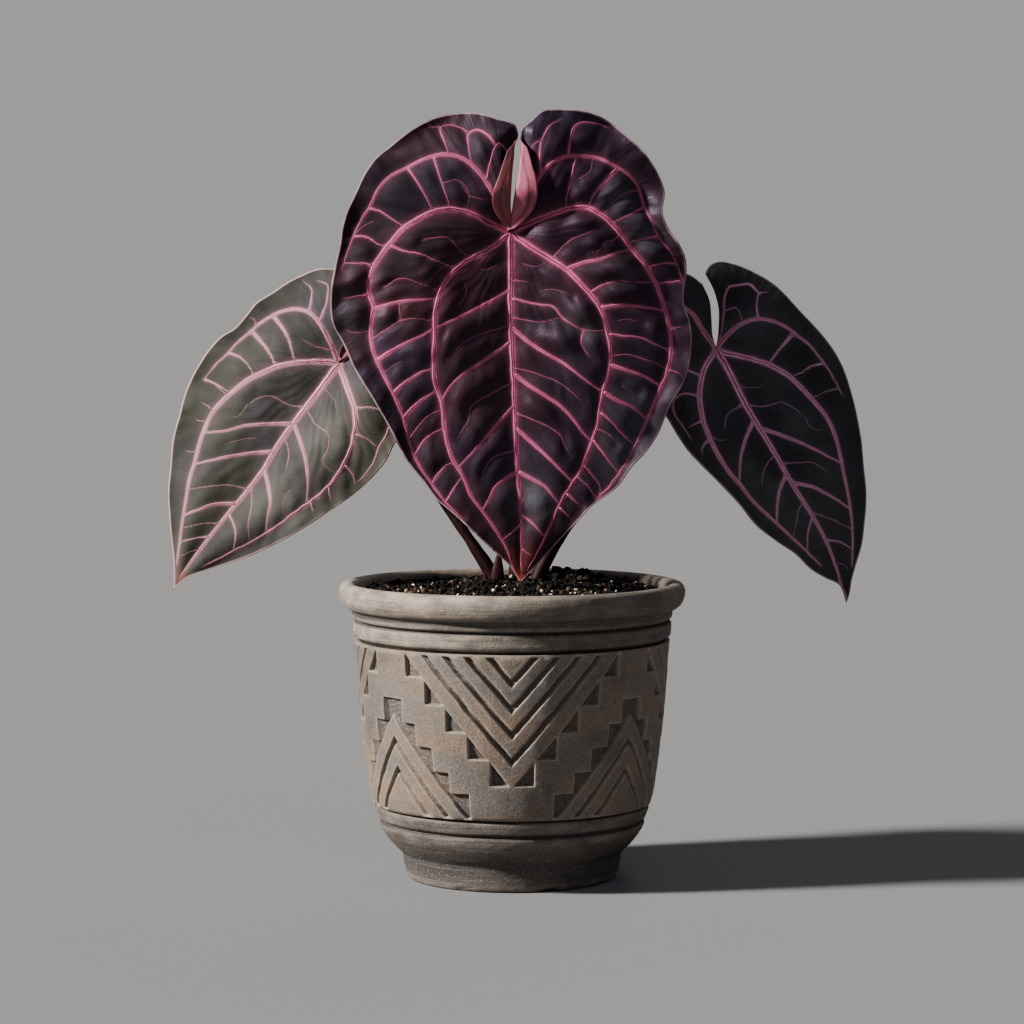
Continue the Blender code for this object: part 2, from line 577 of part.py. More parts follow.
def blade_depth(leaf, across):
    """How far back each point of the blade lies.

    A plane and a gentle arch carry the blade. Between its axis (midrib and sinus) and its margin each half swells
    forward, and droops back towards the margin, where a wave runs round with the angle about the joint. All three
    fade where the blade is narrow.
    """
    axis = [nearest(across, smooth_path(line, 40))[0] for line in (leaf.midrib, leaf.left_sinus, leaf.right_sinus)]
    margin = [nearest(across, smooth_path(line, 90))[0] for line in (leaf.left, leaf.right)]
    to_axis, to_margin = np.min(axis, axis=0), np.min(margin, axis=0)
    breadth = to_axis + to_margin
    share = to_axis / np.maximum(breadth, 1e-6)
    around = np.arctan2(across[:, 0], -across[:, 1])
    ripple = leaf.wave * np.sin(leaf.waves * around + 0.7 * np.sin(3 * around)) * share**3
    form = leaf.droop * share**2 - leaf.bulge * np.sin(np.pi * share) ** 2 + ripple
    plane = leaf.lean[0] * across[:, 0] + leaf.lean[1] * across[:, 1]
    arch = leaf.arch * (across[:, 1] / 100.0) ** 2
    return leaf.joint[1] + plane + arch + form * np.tanh(breadth / 20.0)


def on_blade(leaf, across):
    """Points of the blade's middle surface in the part's frame."""
    across = np.asarray(across, float)
    return np.stack([leaf.joint[0] + across[:, 0], blade_depth(leaf, across), leaf.joint[2] + across[:, 1]], axis=1)


def rib_lines(points, half_width):
    """The middle of one vein and its two edges, which draw together along its course."""
    length = np.linalg.norm(np.diff(np.array(points), axis=0), axis=1).sum()
    middle = smooth_path(points, max(3, round(length / RIB_STEP) + 1))
    forward = np.gradient(middle, axis=0)
    forward /= np.linalg.norm(forward, axis=1)[:, None]
    side = np.stack([forward[:, 1], -forward[:, 0]], axis=1)
    width = half_width * np.linspace(1.0, 0.5, len(middle))[:, None]
    return middle, middle + side * width, middle - side * width


def rib_relief(leaf, across):
    """Height of the veins over the blade: a ridge on each vein's middle line, nought at its edges."""
    height = np.zeros(len(across))
    for half_width, points in leaf.ribs:
        gap, along = nearest(across, rib_lines(points, half_width)[0])
        taper = 1.0 - 0.5 * along
        crest = (RIB_RISE[0] + RIB_RISE[1] * half_width) * taper
        height = np.maximum(height, crest * np.maximum(1.0 - gap / (half_width * taper), 0.0))
    return height


def blade_outline(leaf):
    """The blade's edge once round, anticlockwise from the joint: right sinus, right margin, left margin, sinus."""
    parts = []
    for points in (leaf.right_sinus, leaf.right, leaf.left, leaf.left_sinus):
        length = np.linalg.norm(np.diff(np.array(points), axis=0), axis=1).sum()
        step = leaf.margin_step if points in (leaf.left, leaf.right) else 0.75 * leaf.margin_step
        parts.append(smooth_path(points, max(4, round(length / step) + 1)))
    right_sinus, right, left, left_sinus = parts
    around = [left_sinus[::-1][:-1], left[:-1], right[::-1][:-1], right_sinus[:-1]]
    return anticlockwise([tuple(point) for point in np.concatenate(around)])


def blade_plan(leaf):
    """Triangles of the flat blade, with edges along its outline and along every vein, and a loose field between."""
    points = blade_outline(leaf)
    outline = list(range(len(points)))
    edges = []
    for half_width, course in leaf.ribs:
        for line in rib_lines(course, half_width):
            edges += [(len(points) + n, len(points) + n + 1) for n in range(len(line) - 1)]
            points += [tuple(point) for point in line]
    low, high = np.min(points, axis=0), np.max(points, axis=0)
    x, z = np.meshgrid(np.arange(low[0], high[0], FIELD_STEP), np.arange(low[1], high[1], FIELD_STEP))
    x[1::2] += FIELD_STEP / 2
    field = np.stack([x.ravel(), z.ravel()], axis=1)
    clear = nearest(field, np.array(points + points[:1])[outline + [0]])[0]
    for half_width, course in leaf.ribs:
        clear = np.minimum(clear, nearest(field, rib_lines(course, half_width)[0])[0] - half_width)
    points += [tuple(point) for point in field[clear > FIELD_CLEAR]]
    found = delaunay_2d_cdt(points, edges, [outline], 0, 0.12)
    faces = [face for face, origin in zip(found[2], found[5]) if origin]
    return np.array([tuple(point) for point in found[0]]), np.array(faces)


def open_edges(faces):
    """The edges that only one triangle uses, in that triangle's direction."""
    ends = np.concatenate([faces[:, [0, 1]], faces[:, [1, 2]], faces[:, [2, 0]]])
    _, index, used = np.unique(np.sort(ends, axis=1), axis=0, return_inverse=True, return_counts=True)
    return ends[used[index.reshape(-1)] == 1]


def rolled_margin(plan, sheet, faces, sinus, flap, side):
    """The margin of the sinus, rolled forward: new points and the triangles that join them to the blade's edge.

    The roll follows a circle of FOLD_RADIUS forward and over, then runs back flat over the blade. Its length along
    the sinus is a skewed half wave, nought at the lobe's end and at the joint.
    """
    rim = np.unique(open_edges(faces))
    gap, along = nearest(plan[rim], smooth_path(sinus, 60))
    chain = rim[gap < 0.3]
    chain = chain[np.argsort(along[gap < 0.3])]
    share = np.linspace(0.0, 1.0, len(chain))
    length = flap * np.sqrt(np.maximum(np.sin(math.pi * share**1.15), 0.0))
    length[-1] = 0.0
    first, count = len(sheet), len(chain)
    columns = [chain]
    strips = []
    for n, q in enumerate((0.26, 0.48, 0.72, 1.0)):
        run = q * length
        turn = np.minimum(run / FOLD_RADIUS, math.pi)
        flat = np.maximum(run - math.pi * FOLD_RADIUS, 0.0)
        strip = sheet[chain].copy()
        strip[:, 0] += side * (FOLD_RADIUS * np.sin(turn) - flat)
        strip[:, 1] -= FOLD_RADIUS * (1 - np.cos(turn)) + 0.12 * flat
        strips.append(strip)
        columns.append(first + n * count + np.arange(count))
    cells = []
    for a, b in zip(columns, columns[1:]):
        cells.append(np.stack([a[:-1], a[1:], b[1:]], axis=1))
        cells.append(np.stack([a[:-1], b[1:], b[:-1]], axis=1))
    cells = np.concatenate(cells)
    return np.concatenate(strips), cells if side > 0 else cells[:, ::-1]


def weld(points, faces):
    """Makes coincident points one and drops the faces that collapsed."""
    _, first, index = np.unique(np.round(points, 3), axis=0, return_index=True, return_inverse=True)
    faces = index.reshape(-1)[faces]
    whole = (faces[:, 0] != faces[:, 1]) & (faces[:, 1] != faces[:, 2]) & (faces[:, 0] != faces[:, 2])
    return points[first], faces[whole], first


def closed_sheet(points, faces, front, back):
    """A thin solid round a sheet: the same triangles on both faces, and a wall round the open edge."""
    corner = points[faces]
    normal = np.cross(corner[:, 1] - corner[:, 0], corner[:, 2] - corner[:, 0])
    at = np.zeros_like(points)
    for k in range(3):
        np.add.at(at, faces[:, k], normal)
    at /= np.maximum(np.linalg.norm(at, axis=1), 1e-9)[:, None]
    verts = np.concatenate([points + at * front[:, None], points - at * back[:, None]])
    count = len(points)
    rim = open_edges(faces)
    walls = np.concatenate([
        np.stack([rim[:, 1], rim[:, 0], rim[:, 0] + count], axis=1),
        np.stack([rim[:, 1], rim[:, 0] + count, rim[:, 1] + count], axis=1),
    ])
    return verts, np.concatenate([faces, faces[:, ::-1] + count, walls])


def make_leaf(leaf):
    """One blade with its raised veins and rolled margins, as one solid."""
    material = finish(f"{leaf.name}_blade", leaf.color, 0.45)
    plan, faces = blade_plan(leaf)
    sheet, cells = on_blade(leaf, plan), [faces]
    relief = rib_relief(leaf, plan)
    sides = ((leaf.left_sinus, leaf.flaps[0], 1.0), (leaf.right_sinus, leaf.flaps[1], -1.0))
    for sinus, flap, side in sides:
        if flap:
            strip, more = rolled_margin(plan, sheet, faces, sinus, flap, side)
            sheet = np.concatenate([sheet, strip])
            relief = np.concatenate([relief, np.zeros(len(strip))])
            cells.append(more)
    points, faces, kept = weld(sheet, np.concatenate(cells))
    rise = relief[kept]
    half = BLADE_THICKNESS / 2
    solid = closed_sheet(points, faces, half + rise, half + BACK_RISE * rise)
    return object_from(f"leaf_{leaf.name}", *solid, material, 40.0)


def stalk_path(leaf):
    """The stalk's centre line, ending square to the back of the blade at its joint."""
    near = np.array([(0.5, 0.0), (-0.5, 0.0), (0.0, 0.5), (0.0, -0.5)])
    spots = on_blade(leaf, near)
    back = np.cross(spots[1] - spots[0], spots[3] - spots[2])
    back /= np.linalg.norm(back) * np.sign(back[1])
    joint = np.array(leaf.joint)
    end = joint + STALK_STANDOFF * back
    knee = joint + 7.0 * back + np.array([0.0, 0.0, -2.5])
    route = smooth_path(STALK_ROUTES[leaf.name] + [tuple(knee), tuple(end)], STALK_RINGS)
    return np.concatenate([route[:-1], (end + 0.8 * back)[None], end[None]])


def make_stalk(leaf, material, swell=0.0):
    """One stalk, thickest where it sheathes the crown; swell makes the fatter copy that bores its hole."""
    path = stalk_path(leaf)
    if swell:
        path = path[:6]
        path[0, 2] -= GAP
    share = np.linspace(0, 1, len(stalk_path(leaf)))[: len(path)]
    foot, middle, top = STALK_RADII
    radii = np.interp(share, [0.0, 0.22, 0.9, 1.0], [foot, middle, top, top]) + swell
    name = f"petiole_{leaf.name}" if not swell else f"bore_{leaf.name}"
    return object_from(name, *tube(path, radii, radii, STALK_SIDES), material)


def make_crown(material, swell=0.0):
    """The stub of stem with its sheath leaves; swell makes the plain copy that bores its hole."""
    angles = [2 * math.pi * n / 12 for n in range(12)]
    profile = [(radius + (swell if radius else 0.0), height) for radius, height in CROWN_PROFILE]
    if swell:
        profile = [(0.0, CROWN_PROFILE[0][1] - swell), (profile[1][0], CROWN_PROFILE[0][1] - swell)] + profile[2:]
        return object_from("bore_crown", *turned(profile, angles, CROWN_PLACE), material)
    crown = object_from("crown", *turned(profile, angles, CROWN_PLACE), material)
    sheaths = []
    for n, route in enumerate(SHEATHS):
        path = smooth_path(route, 7)
        taper = np.sqrt(np.linspace(1.0, 0.02, 7))
        sides = tube(path, SHEATH_WIDTH * taper, SHEATH_DEPTH * taper, 6)
        sheaths.append(object_from(f"sheath_{n}", *sides, material))
    join_all(crown, sheaths)
    return crown


def main():
    """Builds every piece in place."""
    clear_scene()
    clay = finish("fired_clay", (0.155, 0.120, 0.098, 1.0), 0.85)
    mix = finish("potting_mix", (0.010, 0.008, 0.007, 1.0), 0.95)
    stem = finish("maroon_stem", (0.045, 0.010, 0.014, 1.0), 0.45)
    make_pot(clay)
    bores = [make_stalk(leaf, stem, GAP) for leaf in LEAVES] + [make_crown(stem, GAP)]
    make_soil(mix, bores)
    for leaf in LEAVES:
        make_leaf(leaf)
        make_stalk(leaf, stem)
    make_crown(stem)


main()
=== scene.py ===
"""The looks of a potted crystallinum anthurium: veined blades, stalks, a carved clay pot and gritty mix.

Lengths are millimetres until a mesh is made, which is in metres. The plant faces -Y and stands on Z = 0.
"""

import logging
import math
from dataclasses import dataclass, field
from enum import Enum

import bpy
import numpy as np
from mathutils.geometry import delaunay_2d_cdt
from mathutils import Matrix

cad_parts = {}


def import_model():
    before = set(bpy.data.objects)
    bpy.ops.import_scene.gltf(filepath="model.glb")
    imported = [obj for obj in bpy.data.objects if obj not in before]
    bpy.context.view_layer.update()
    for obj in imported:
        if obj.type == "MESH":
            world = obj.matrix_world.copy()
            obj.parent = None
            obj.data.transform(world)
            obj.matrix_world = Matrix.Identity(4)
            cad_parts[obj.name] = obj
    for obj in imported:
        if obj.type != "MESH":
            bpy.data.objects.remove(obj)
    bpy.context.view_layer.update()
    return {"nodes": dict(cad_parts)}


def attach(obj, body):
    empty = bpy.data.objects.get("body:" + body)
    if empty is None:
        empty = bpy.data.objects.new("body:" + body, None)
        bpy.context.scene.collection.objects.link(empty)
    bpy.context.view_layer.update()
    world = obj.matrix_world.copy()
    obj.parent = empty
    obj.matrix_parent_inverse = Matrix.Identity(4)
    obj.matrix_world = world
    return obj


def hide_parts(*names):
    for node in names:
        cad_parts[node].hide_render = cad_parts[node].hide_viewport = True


MM = 0.001
LOG = logging.getLogger("anthurium")
Array = np.ndarray
Points = list[tuple[float, ...]]
Material = bpy.types.Material
Piece = bpy.types.Object
Socket = bpy.types.NodeSocket


# Curves, noise and meshes


def pairs(*numbers: float) -> Points:
    """Pairs up numbers that give across and up in turn."""
    return list(zip(numbers[::2], numbers[1::2]))


def travel(curve: Array) -> Array:
    """Measures how far along a polyline each of its points lies."""
    return np.concatenate([[0.0], np.cumsum(np.linalg.norm(np.diff(curve, axis=0), axis=1))])


def path_length(points: Points | Array) -> float:
    """Measures a polyline."""
    return float(np.linalg.norm(np.diff(np.asarray(points, float), axis=0), axis=1).sum())


def resample(curve: Array, count: int) -> Array:
    """Spaces points evenly along a polyline.

    Args:
        curve: The polyline's points.
        count: How many points to return.

    Returns:
        The evenly spaced points.
    """
    length = travel(curve)
    even = np.linspace(0.0, length[-1], count)
    return np.stack([np.interp(even, length, curve[:, k]) for k in range(curve.shape[1])], axis=1)


def smooth_path(points: Points, count: int) -> Array:
    """Runs a cubic curve through the given points, with the slope at each taken from its neighbours.

    Args:
        points: The points to pass through, in two or three dimensions.
        count: How many evenly spaced points to return.

    Returns:
        The points of the curve, one in each row.
    """
    knots = np.array(points, float)
    chord = travel(knots)
    slope = np.gradient(knots, chord, axis=0)
    at = np.linspace(0.0, chord[-1], 24 * len(knots))
    i = np.clip(np.searchsorted(chord, at, side="right") - 1, 0, len(knots) - 2)
    span = (chord[i + 1] - chord[i])[:, None]
    f = (at[:, None] - chord[i][:, None]) / span
    curve = (
        (2 * f**3 - 3 * f**2 + 1) * knots[i]
        + (f**3 - 2 * f**2 + f) * span * slope[i]
        + (3 * f**2 - 2 * f**3) * knots[i + 1]
        + (f**3 - f**2) * span * slope[i + 1]
    )
    return resample(curve, count)


def nearest(points: Array, path: Array) -> tuple[Array, Array]:
    """Finds how far each point of a plane is from a polyline.

    Args:
        points: The points, one in each row.
        path: The polyline's points.

    Returns:
        The distances, and the share of the line's length passed at the nearest place.
    """
    start, step = path[:-1], np.diff(path, axis=0)
    length = np.maximum(np.linalg.norm(step, axis=1), 1e-9)
    offset_x = points[:, None, 0] - start[None, :, 0]
    offset_y = points[:, None, 1] - start[None, :, 1]
    along = np.clip((offset_x * step[:, 0] + offset_y * step[:, 1]) / length**2, 0.0, 1.0)
    gap = (offset_x - along * step[:, 0]) ** 2 + (offset_y - along * step[:, 1]) ** 2
    best = gap.argmin(axis=1)
    at = np.arange(len(points))
    passed = np.concatenate([[0.0], np.cumsum(length)])[best] + along[at, best] * length[best]
    return np.sqrt(gap[at, best]), passed / length.sum()


def clearance(points: Array, paths: list[Array]) -> Array:
    """Finds how far each point of a plane is from the nearest of several polylines."""
    return np.min([nearest(points, path)[0] for path in paths], axis=0)


def noise(points: Array, size: float, seed: int) -> Array:
    """Smooth seeded noise: the sum of 14 sine waves, each in its own direction and about as long as the size.

    Args:
        points: The places, in any number of dimensions, one in each row.
        size: The typical wavelength.
        seed: Chooses the waves.

    Returns:
        Values mostly between -1 and 1.
    """
    rng = np.random.default_rng(seed)
    way = rng.normal(size=(points.shape[1], 14))
    way *= 2 * math.pi * rng.uniform(0.65, 1.5, 14) / size / np.linalg.norm(way, axis=0)
    return np.sin(points @ way + rng.uniform(0, 2 * math.pi, 14)).sum(axis=1) / 4.2


def smooth_step(low: float, high: float, value: Array) -> Array:
    """Rises from 0 at the low limit to 1 at the high one, level at both: 3t^2 - 2t^3."""
    t = np.clip((value - low) / (high - low), 0.0, 1.0)
    return t * t * (3 - 2 * t)


def patches(across: Array, spots: tuple, start: Array) -> Array:
    """Adds soft round patches to some values: each adds its share times exp(-(distance / spread)^2).

    Args:
        across: Places in a plane.
        spots: The patches, as (across, up, spread, share).
        start: The values before.

    Returns:
        The values after.
    """
    for x, z, spread, share in spots:
        start = start + share * np.exp(-((across[:, 0] - x) ** 2 + (across[:, 1] - z) ** 2) / spread**2)
    return start


def unit(rows: Array) -> Array:
    """Scales each row to a length of 1."""
    return rows / np.linalg.norm(rows, axis=1)[:, None]


def sideways(line: Array) -> Array:
    """Finds the direction across a line in a plane at each of its points."""
    step = np.gradient(line, axis=0)
    return unit(np.stack([step[:, 1], -step[:, 0]], axis=1))


def circle(count: int) -> Array:
    """Even angles once round, from the front."""
    return 2 * math.pi * np.arange(count) / count


def turned(radius: Array | float, angle: Array, height: Array) -> Array:
    """Places points round the upright axis: (radius * sin(angle), -radius * cos(angle), height)."""
    return np.stack([radius * np.sin(angle), -radius * np.cos(angle), height], axis=1)


def grid_faces(rows: int, columns: int, wrap: bool = False) -> Array:
    """Quads between the points of a grid stored row by row.

    Args:
        rows: The number of rows.
        columns: The number of points in a row.
        wrap: Whether each row closes on itself.

    Returns:
        Four point indices for each quad.
    """
    i, j = np.meshgrid(np.arange(rows - 1), np.arange(columns if wrap else columns - 1), indexing="ij")
    k = (j + 1) % columns
    quads = [i * columns + j, i * columns + k, (i + 1) * columns + k, (i + 1) * columns + j]
    return np.stack(quads, axis=-1).reshape(-1, 4)


def split_quads(quads: Array) -> Array:
    """Cuts each quad into two triangles."""
    return np.concatenate([quads[:, [0, 1, 2]], quads[:, [0, 2, 3]]])


def fan(center: int, ring: Array) -> Array:
    """Makes triangles from one point to each side of a closed ring."""
    return np.stack([np.full(len(ring), center), ring, np.roll(ring, -1)], axis=1)


def capped(rows: int, columns: int) -> Array:
    """Triangles of a closed tube: its rings are stored in order, then the middle of each end.

    Args:
        rows: The number of rings.
        columns: The number of points in a ring.

    Returns:
        Three point indices for each triangle.
    """
    ring, end = np.arange(columns), rows * columns
    ends = [fan(end, ring[::-1]), fan(end + 1, end - columns + ring)]
    return np.concatenate([split_quads(grid_faces(rows, columns, wrap=True)), *ends])


def open_edges(faces: Array) -> Array:
    """Finds the edges that only one triangle uses.

    Args:
        faces: Three point indices for each triangle.

    Returns:
        The two ends of each such edge, in its triangle's direction.
    """
    ends = np.concatenate([faces[:, [0, 1]], faces[:, [1, 2]], faces[:, [2, 0]]])
    low, high = np.sort(ends, axis=1).T
    _, index, used = np.unique(low * (high.max() + 1) + high, return_inverse=True, return_counts=True)
    return ends[used[index.reshape(-1)] == 1]


def skirt(edges: Array, count: int) -> Array:
    """Makes triangles from the open edges of a sheet to those of its copy, stored so many points after it."""
    start, end = edges.T
    return split_quads(np.stack([end, start, start + count, end + count], axis=1))


def weld(points: Array, faces: Array, digits: int) -> tuple[Array, Array]:
    """Makes points one that agree to some decimals, and drops the triangles that this flattens.

    Args:
        points: The points.
        faces: The triangles.
        digits: How many decimals count.

    Returns:
        Which points are kept, and the triangles between those.
    """
    _, kept, index = np.unique(np.round(points, digits), axis=0, return_index=True, return_inverse=True)
    faces = index.reshape(-1)[faces]
    return kept, faces[(faces != np.roll(faces, 1, axis=1)).all(axis=1)]


def make_mesh(name: str, points: Array, faces: list[Array], materials: list[Material]) -> Piece:
    """Makes one smooth-shaded object at the origin.

    Args:
        name: The object's name.
        points: Its points in millimetres.
        faces: One array of faces for each material.
        materials: The materials, in the order of the face arrays.

    Returns:
        The object, linked to the scene.
    """
    mesh = bpy.data.meshes.new(name)
    mesh.from_pydata((points * MM).tolist(), [], [face for part in faces for face in part.tolist()])
    for material in materials:
        mesh.materials.append(material)
    index = np.concatenate([np.full(len(part), n, np.int32) for n, part in enumerate(faces)])
    mesh.polygons.foreach_set("material_index", index)
    mesh.shade_smooth()
    made = bpy.data.objects.new(name, mesh)
    bpy.context.scene.collection.objects.link(made)
    return made


def paint(made: Piece, **values: Array) -> None:
    """Stores named values at an object's points, for its material to read.

    Args:
        made: The object.
        **values: One array for each attribute, with one value for each point.
    """
    for name, array in values.items():
        layer = made.data.attributes.new(name, "FLOAT", "POINT")
        layer.data.foreach_set("value", np.ascontiguousarray(array, dtype=np.float32))


def tube(
    path: Array, radii: Array, sides: int, flat: float = 1.0, flutes: float = 0.0
) -> tuple[Array, Array, Array]:
    """A closed round tube along a path: rings across it and a fan over each end.

    Args:
        path: The middle line.
        radii: The radius at each point of the path.
        sides: How many points go round.
        flat: The depth as a share of the width.
        flutes: How deep the five lengthwise grooves are, as a share of the radius.

    Returns:
        The points, the triangles, and how far along the path each point lies.
    """
    tangent = unit(np.gradient(path, axis=0))
    side = unit(np.cross(tangent, (0.0, 1.0, 0.0)))
    up = np.cross(tangent, side)
    turn = circle(sides)
    round_it = radii[:, None] * (1.0 + flutes * np.cos(5 * turn))[None]
    rings = (
        path[:, None]
        + (round_it * np.cos(turn))[..., None] * side[:, None]
        + (round_it * np.sin(turn) * flat)[..., None] * up[:, None]
    )
    points = np.concatenate([rings.reshape(-1, 3), path[:1], path[-1:]])
    along = np.concatenate([np.repeat(np.linspace(0, 1, len(path)), sides), [0.0, 1.0]])
    return points, capped(len(path), sides), along


# Materials


def linear(code: str) -> tuple[float, float, float, float]:
    """Turns the six digits of an sRGB colour code into linear red, green and blue, and an alpha of 1."""
    parts = [int(code[n : n + 2], 16) / 255 for n in (0, 2, 4)]
    return (*[c / 12.92 if c <= 0.04045 else ((c + 0.055) / 1.055) ** 2.4 for c in parts], 1.0)


class Graph:
    """The nodes of one material, starting with its Principled BSDF."""

    def __init__(self, name: str, *marks: str) -> None:
        """Makes the material.

        Args:
            name: The material's name.
            *marks: The attributes of the mesh that it reads.
        """
        self.material = bpy.data.materials.new(name)
        self.material.use_nodes = True
        self.tree = self.material.node_tree
        self.shader = self.tree.nodes["Principled BSDF"]
        self.place = self.add("TexCoord", out="Object")
        self.marks = [self.add("Attribute", out="Fac", attribute_name=mark) for mark in marks]

    def add(self, kind: str, *inputs: object, out: int | str = 0, **settings: object) -> Socket:
        """Adds one node with its settings and links.

        Args:
            kind: The node's type.
            *inputs: A value or a socket for each input in order, or one dictionary of them by name or number.
            out: The output that is wanted.
            **settings: The node's own settings.

        Returns:
            The output's socket.
        """
        node = self.tree.nodes.new(f"ShaderNode{kind}")
        for name, value in settings.items():
            setattr(node, name, value)
        self.link(node, inputs[0] if inputs and isinstance(inputs[0], dict) else dict(enumerate(inputs)))
        return node.outputs[out]

    def link(self, node: bpy.types.Node, inputs: dict) -> None:
        """Sets or links a node's inputs.

        Args:
            node: The node.
            inputs: A value or a socket for each input, by name or number.
        """
        for key, value in inputs.items():
            if isinstance(value, Socket):
                self.tree.links.new(value, node.inputs[key])
            else:
                node.inputs[key].default_value = value

    def product(self, value: object, *others: object) -> object:
        """Multiplies values and sockets.

        Args:
            value: The first factor.
            *others: The further factors.

        Returns:
            The product, or the first factor itself where it is the only one.
        """
        for other in others:
            value = self.add("Math", value, other, operation="MULTIPLY")
        return value

    def grain(
        self, size: float, detail: float = 3.0, stretch: tuple = (1, 1, 1), rough: float = 0.55
    ) -> Socket:
        """Noise in the object's own coordinates.

        Args:
            size: The size of its grains in millimetres.
            detail: How many finer layers it has.
            stretch: How much it is squeezed along each axis.
            rough: How strong the finer layers are.

        Returns:
            Its value, between 0 and 1.
        """
        place = self.add("Mapping", {"Vector": self.place, "Scale": stretch})
        inputs = {"Vector": place, "Scale": 1000.0 / size, "Detail": detail, "Roughness": rough}
        return self.add("TexNoise", inputs)

    def clouds(
        self, size: float, low: float, high: float, least: float = 0.0, most: float = 1.0, **grain: object
    ) -> Socket:
        """Stretches noise between two limits to a share between the least and the most."""
        return self.add("MapRange", self.grain(size, **grain), low, high, least, most)

    def layers(self, base: str | Socket, *over: tuple) -> Socket:
        """Lays colours over each other.

        Args:
            base: The lowest colour, as a code or a socket.
            *over: Each further colour, and then the shares whose product says how much of it shows.

        Returns:
            The mixed colour.
        """
        below = linear(base) if isinstance(base, str) else base
        for code, *shares in over:
            color = linear(code) if isinstance(code, str) else code
            below = self.add("Mix", {0: self.product(*shares), 6: below, 7: color}, out=2, data_type="RGBA")
        return below

    def relief(self, *bumps: tuple) -> Socket:
        """Stacks bumps.

        Args:
            *bumps: The depth of each in millimetres and the values whose product is its height, the coarsest
                first.

        Returns:
            The normal.
        """
        under = {}
        for depth, *heights in bumps:
            inputs = {"Height": self.product(*heights), "Distance": depth * MM, "Strength": 1.0}
            under = {"Normal": self.add("Bump", {**inputs, **under})}
        return under["Normal"]

    def close(self, **inputs: object) -> Material:
        """Feeds the Principled BSDF, with _ for each space in its inputs' names, and gives the material."""
        self.link(self.shader, {name.replace("_", " "): value for name, value in inputs.items()})
        return self.material


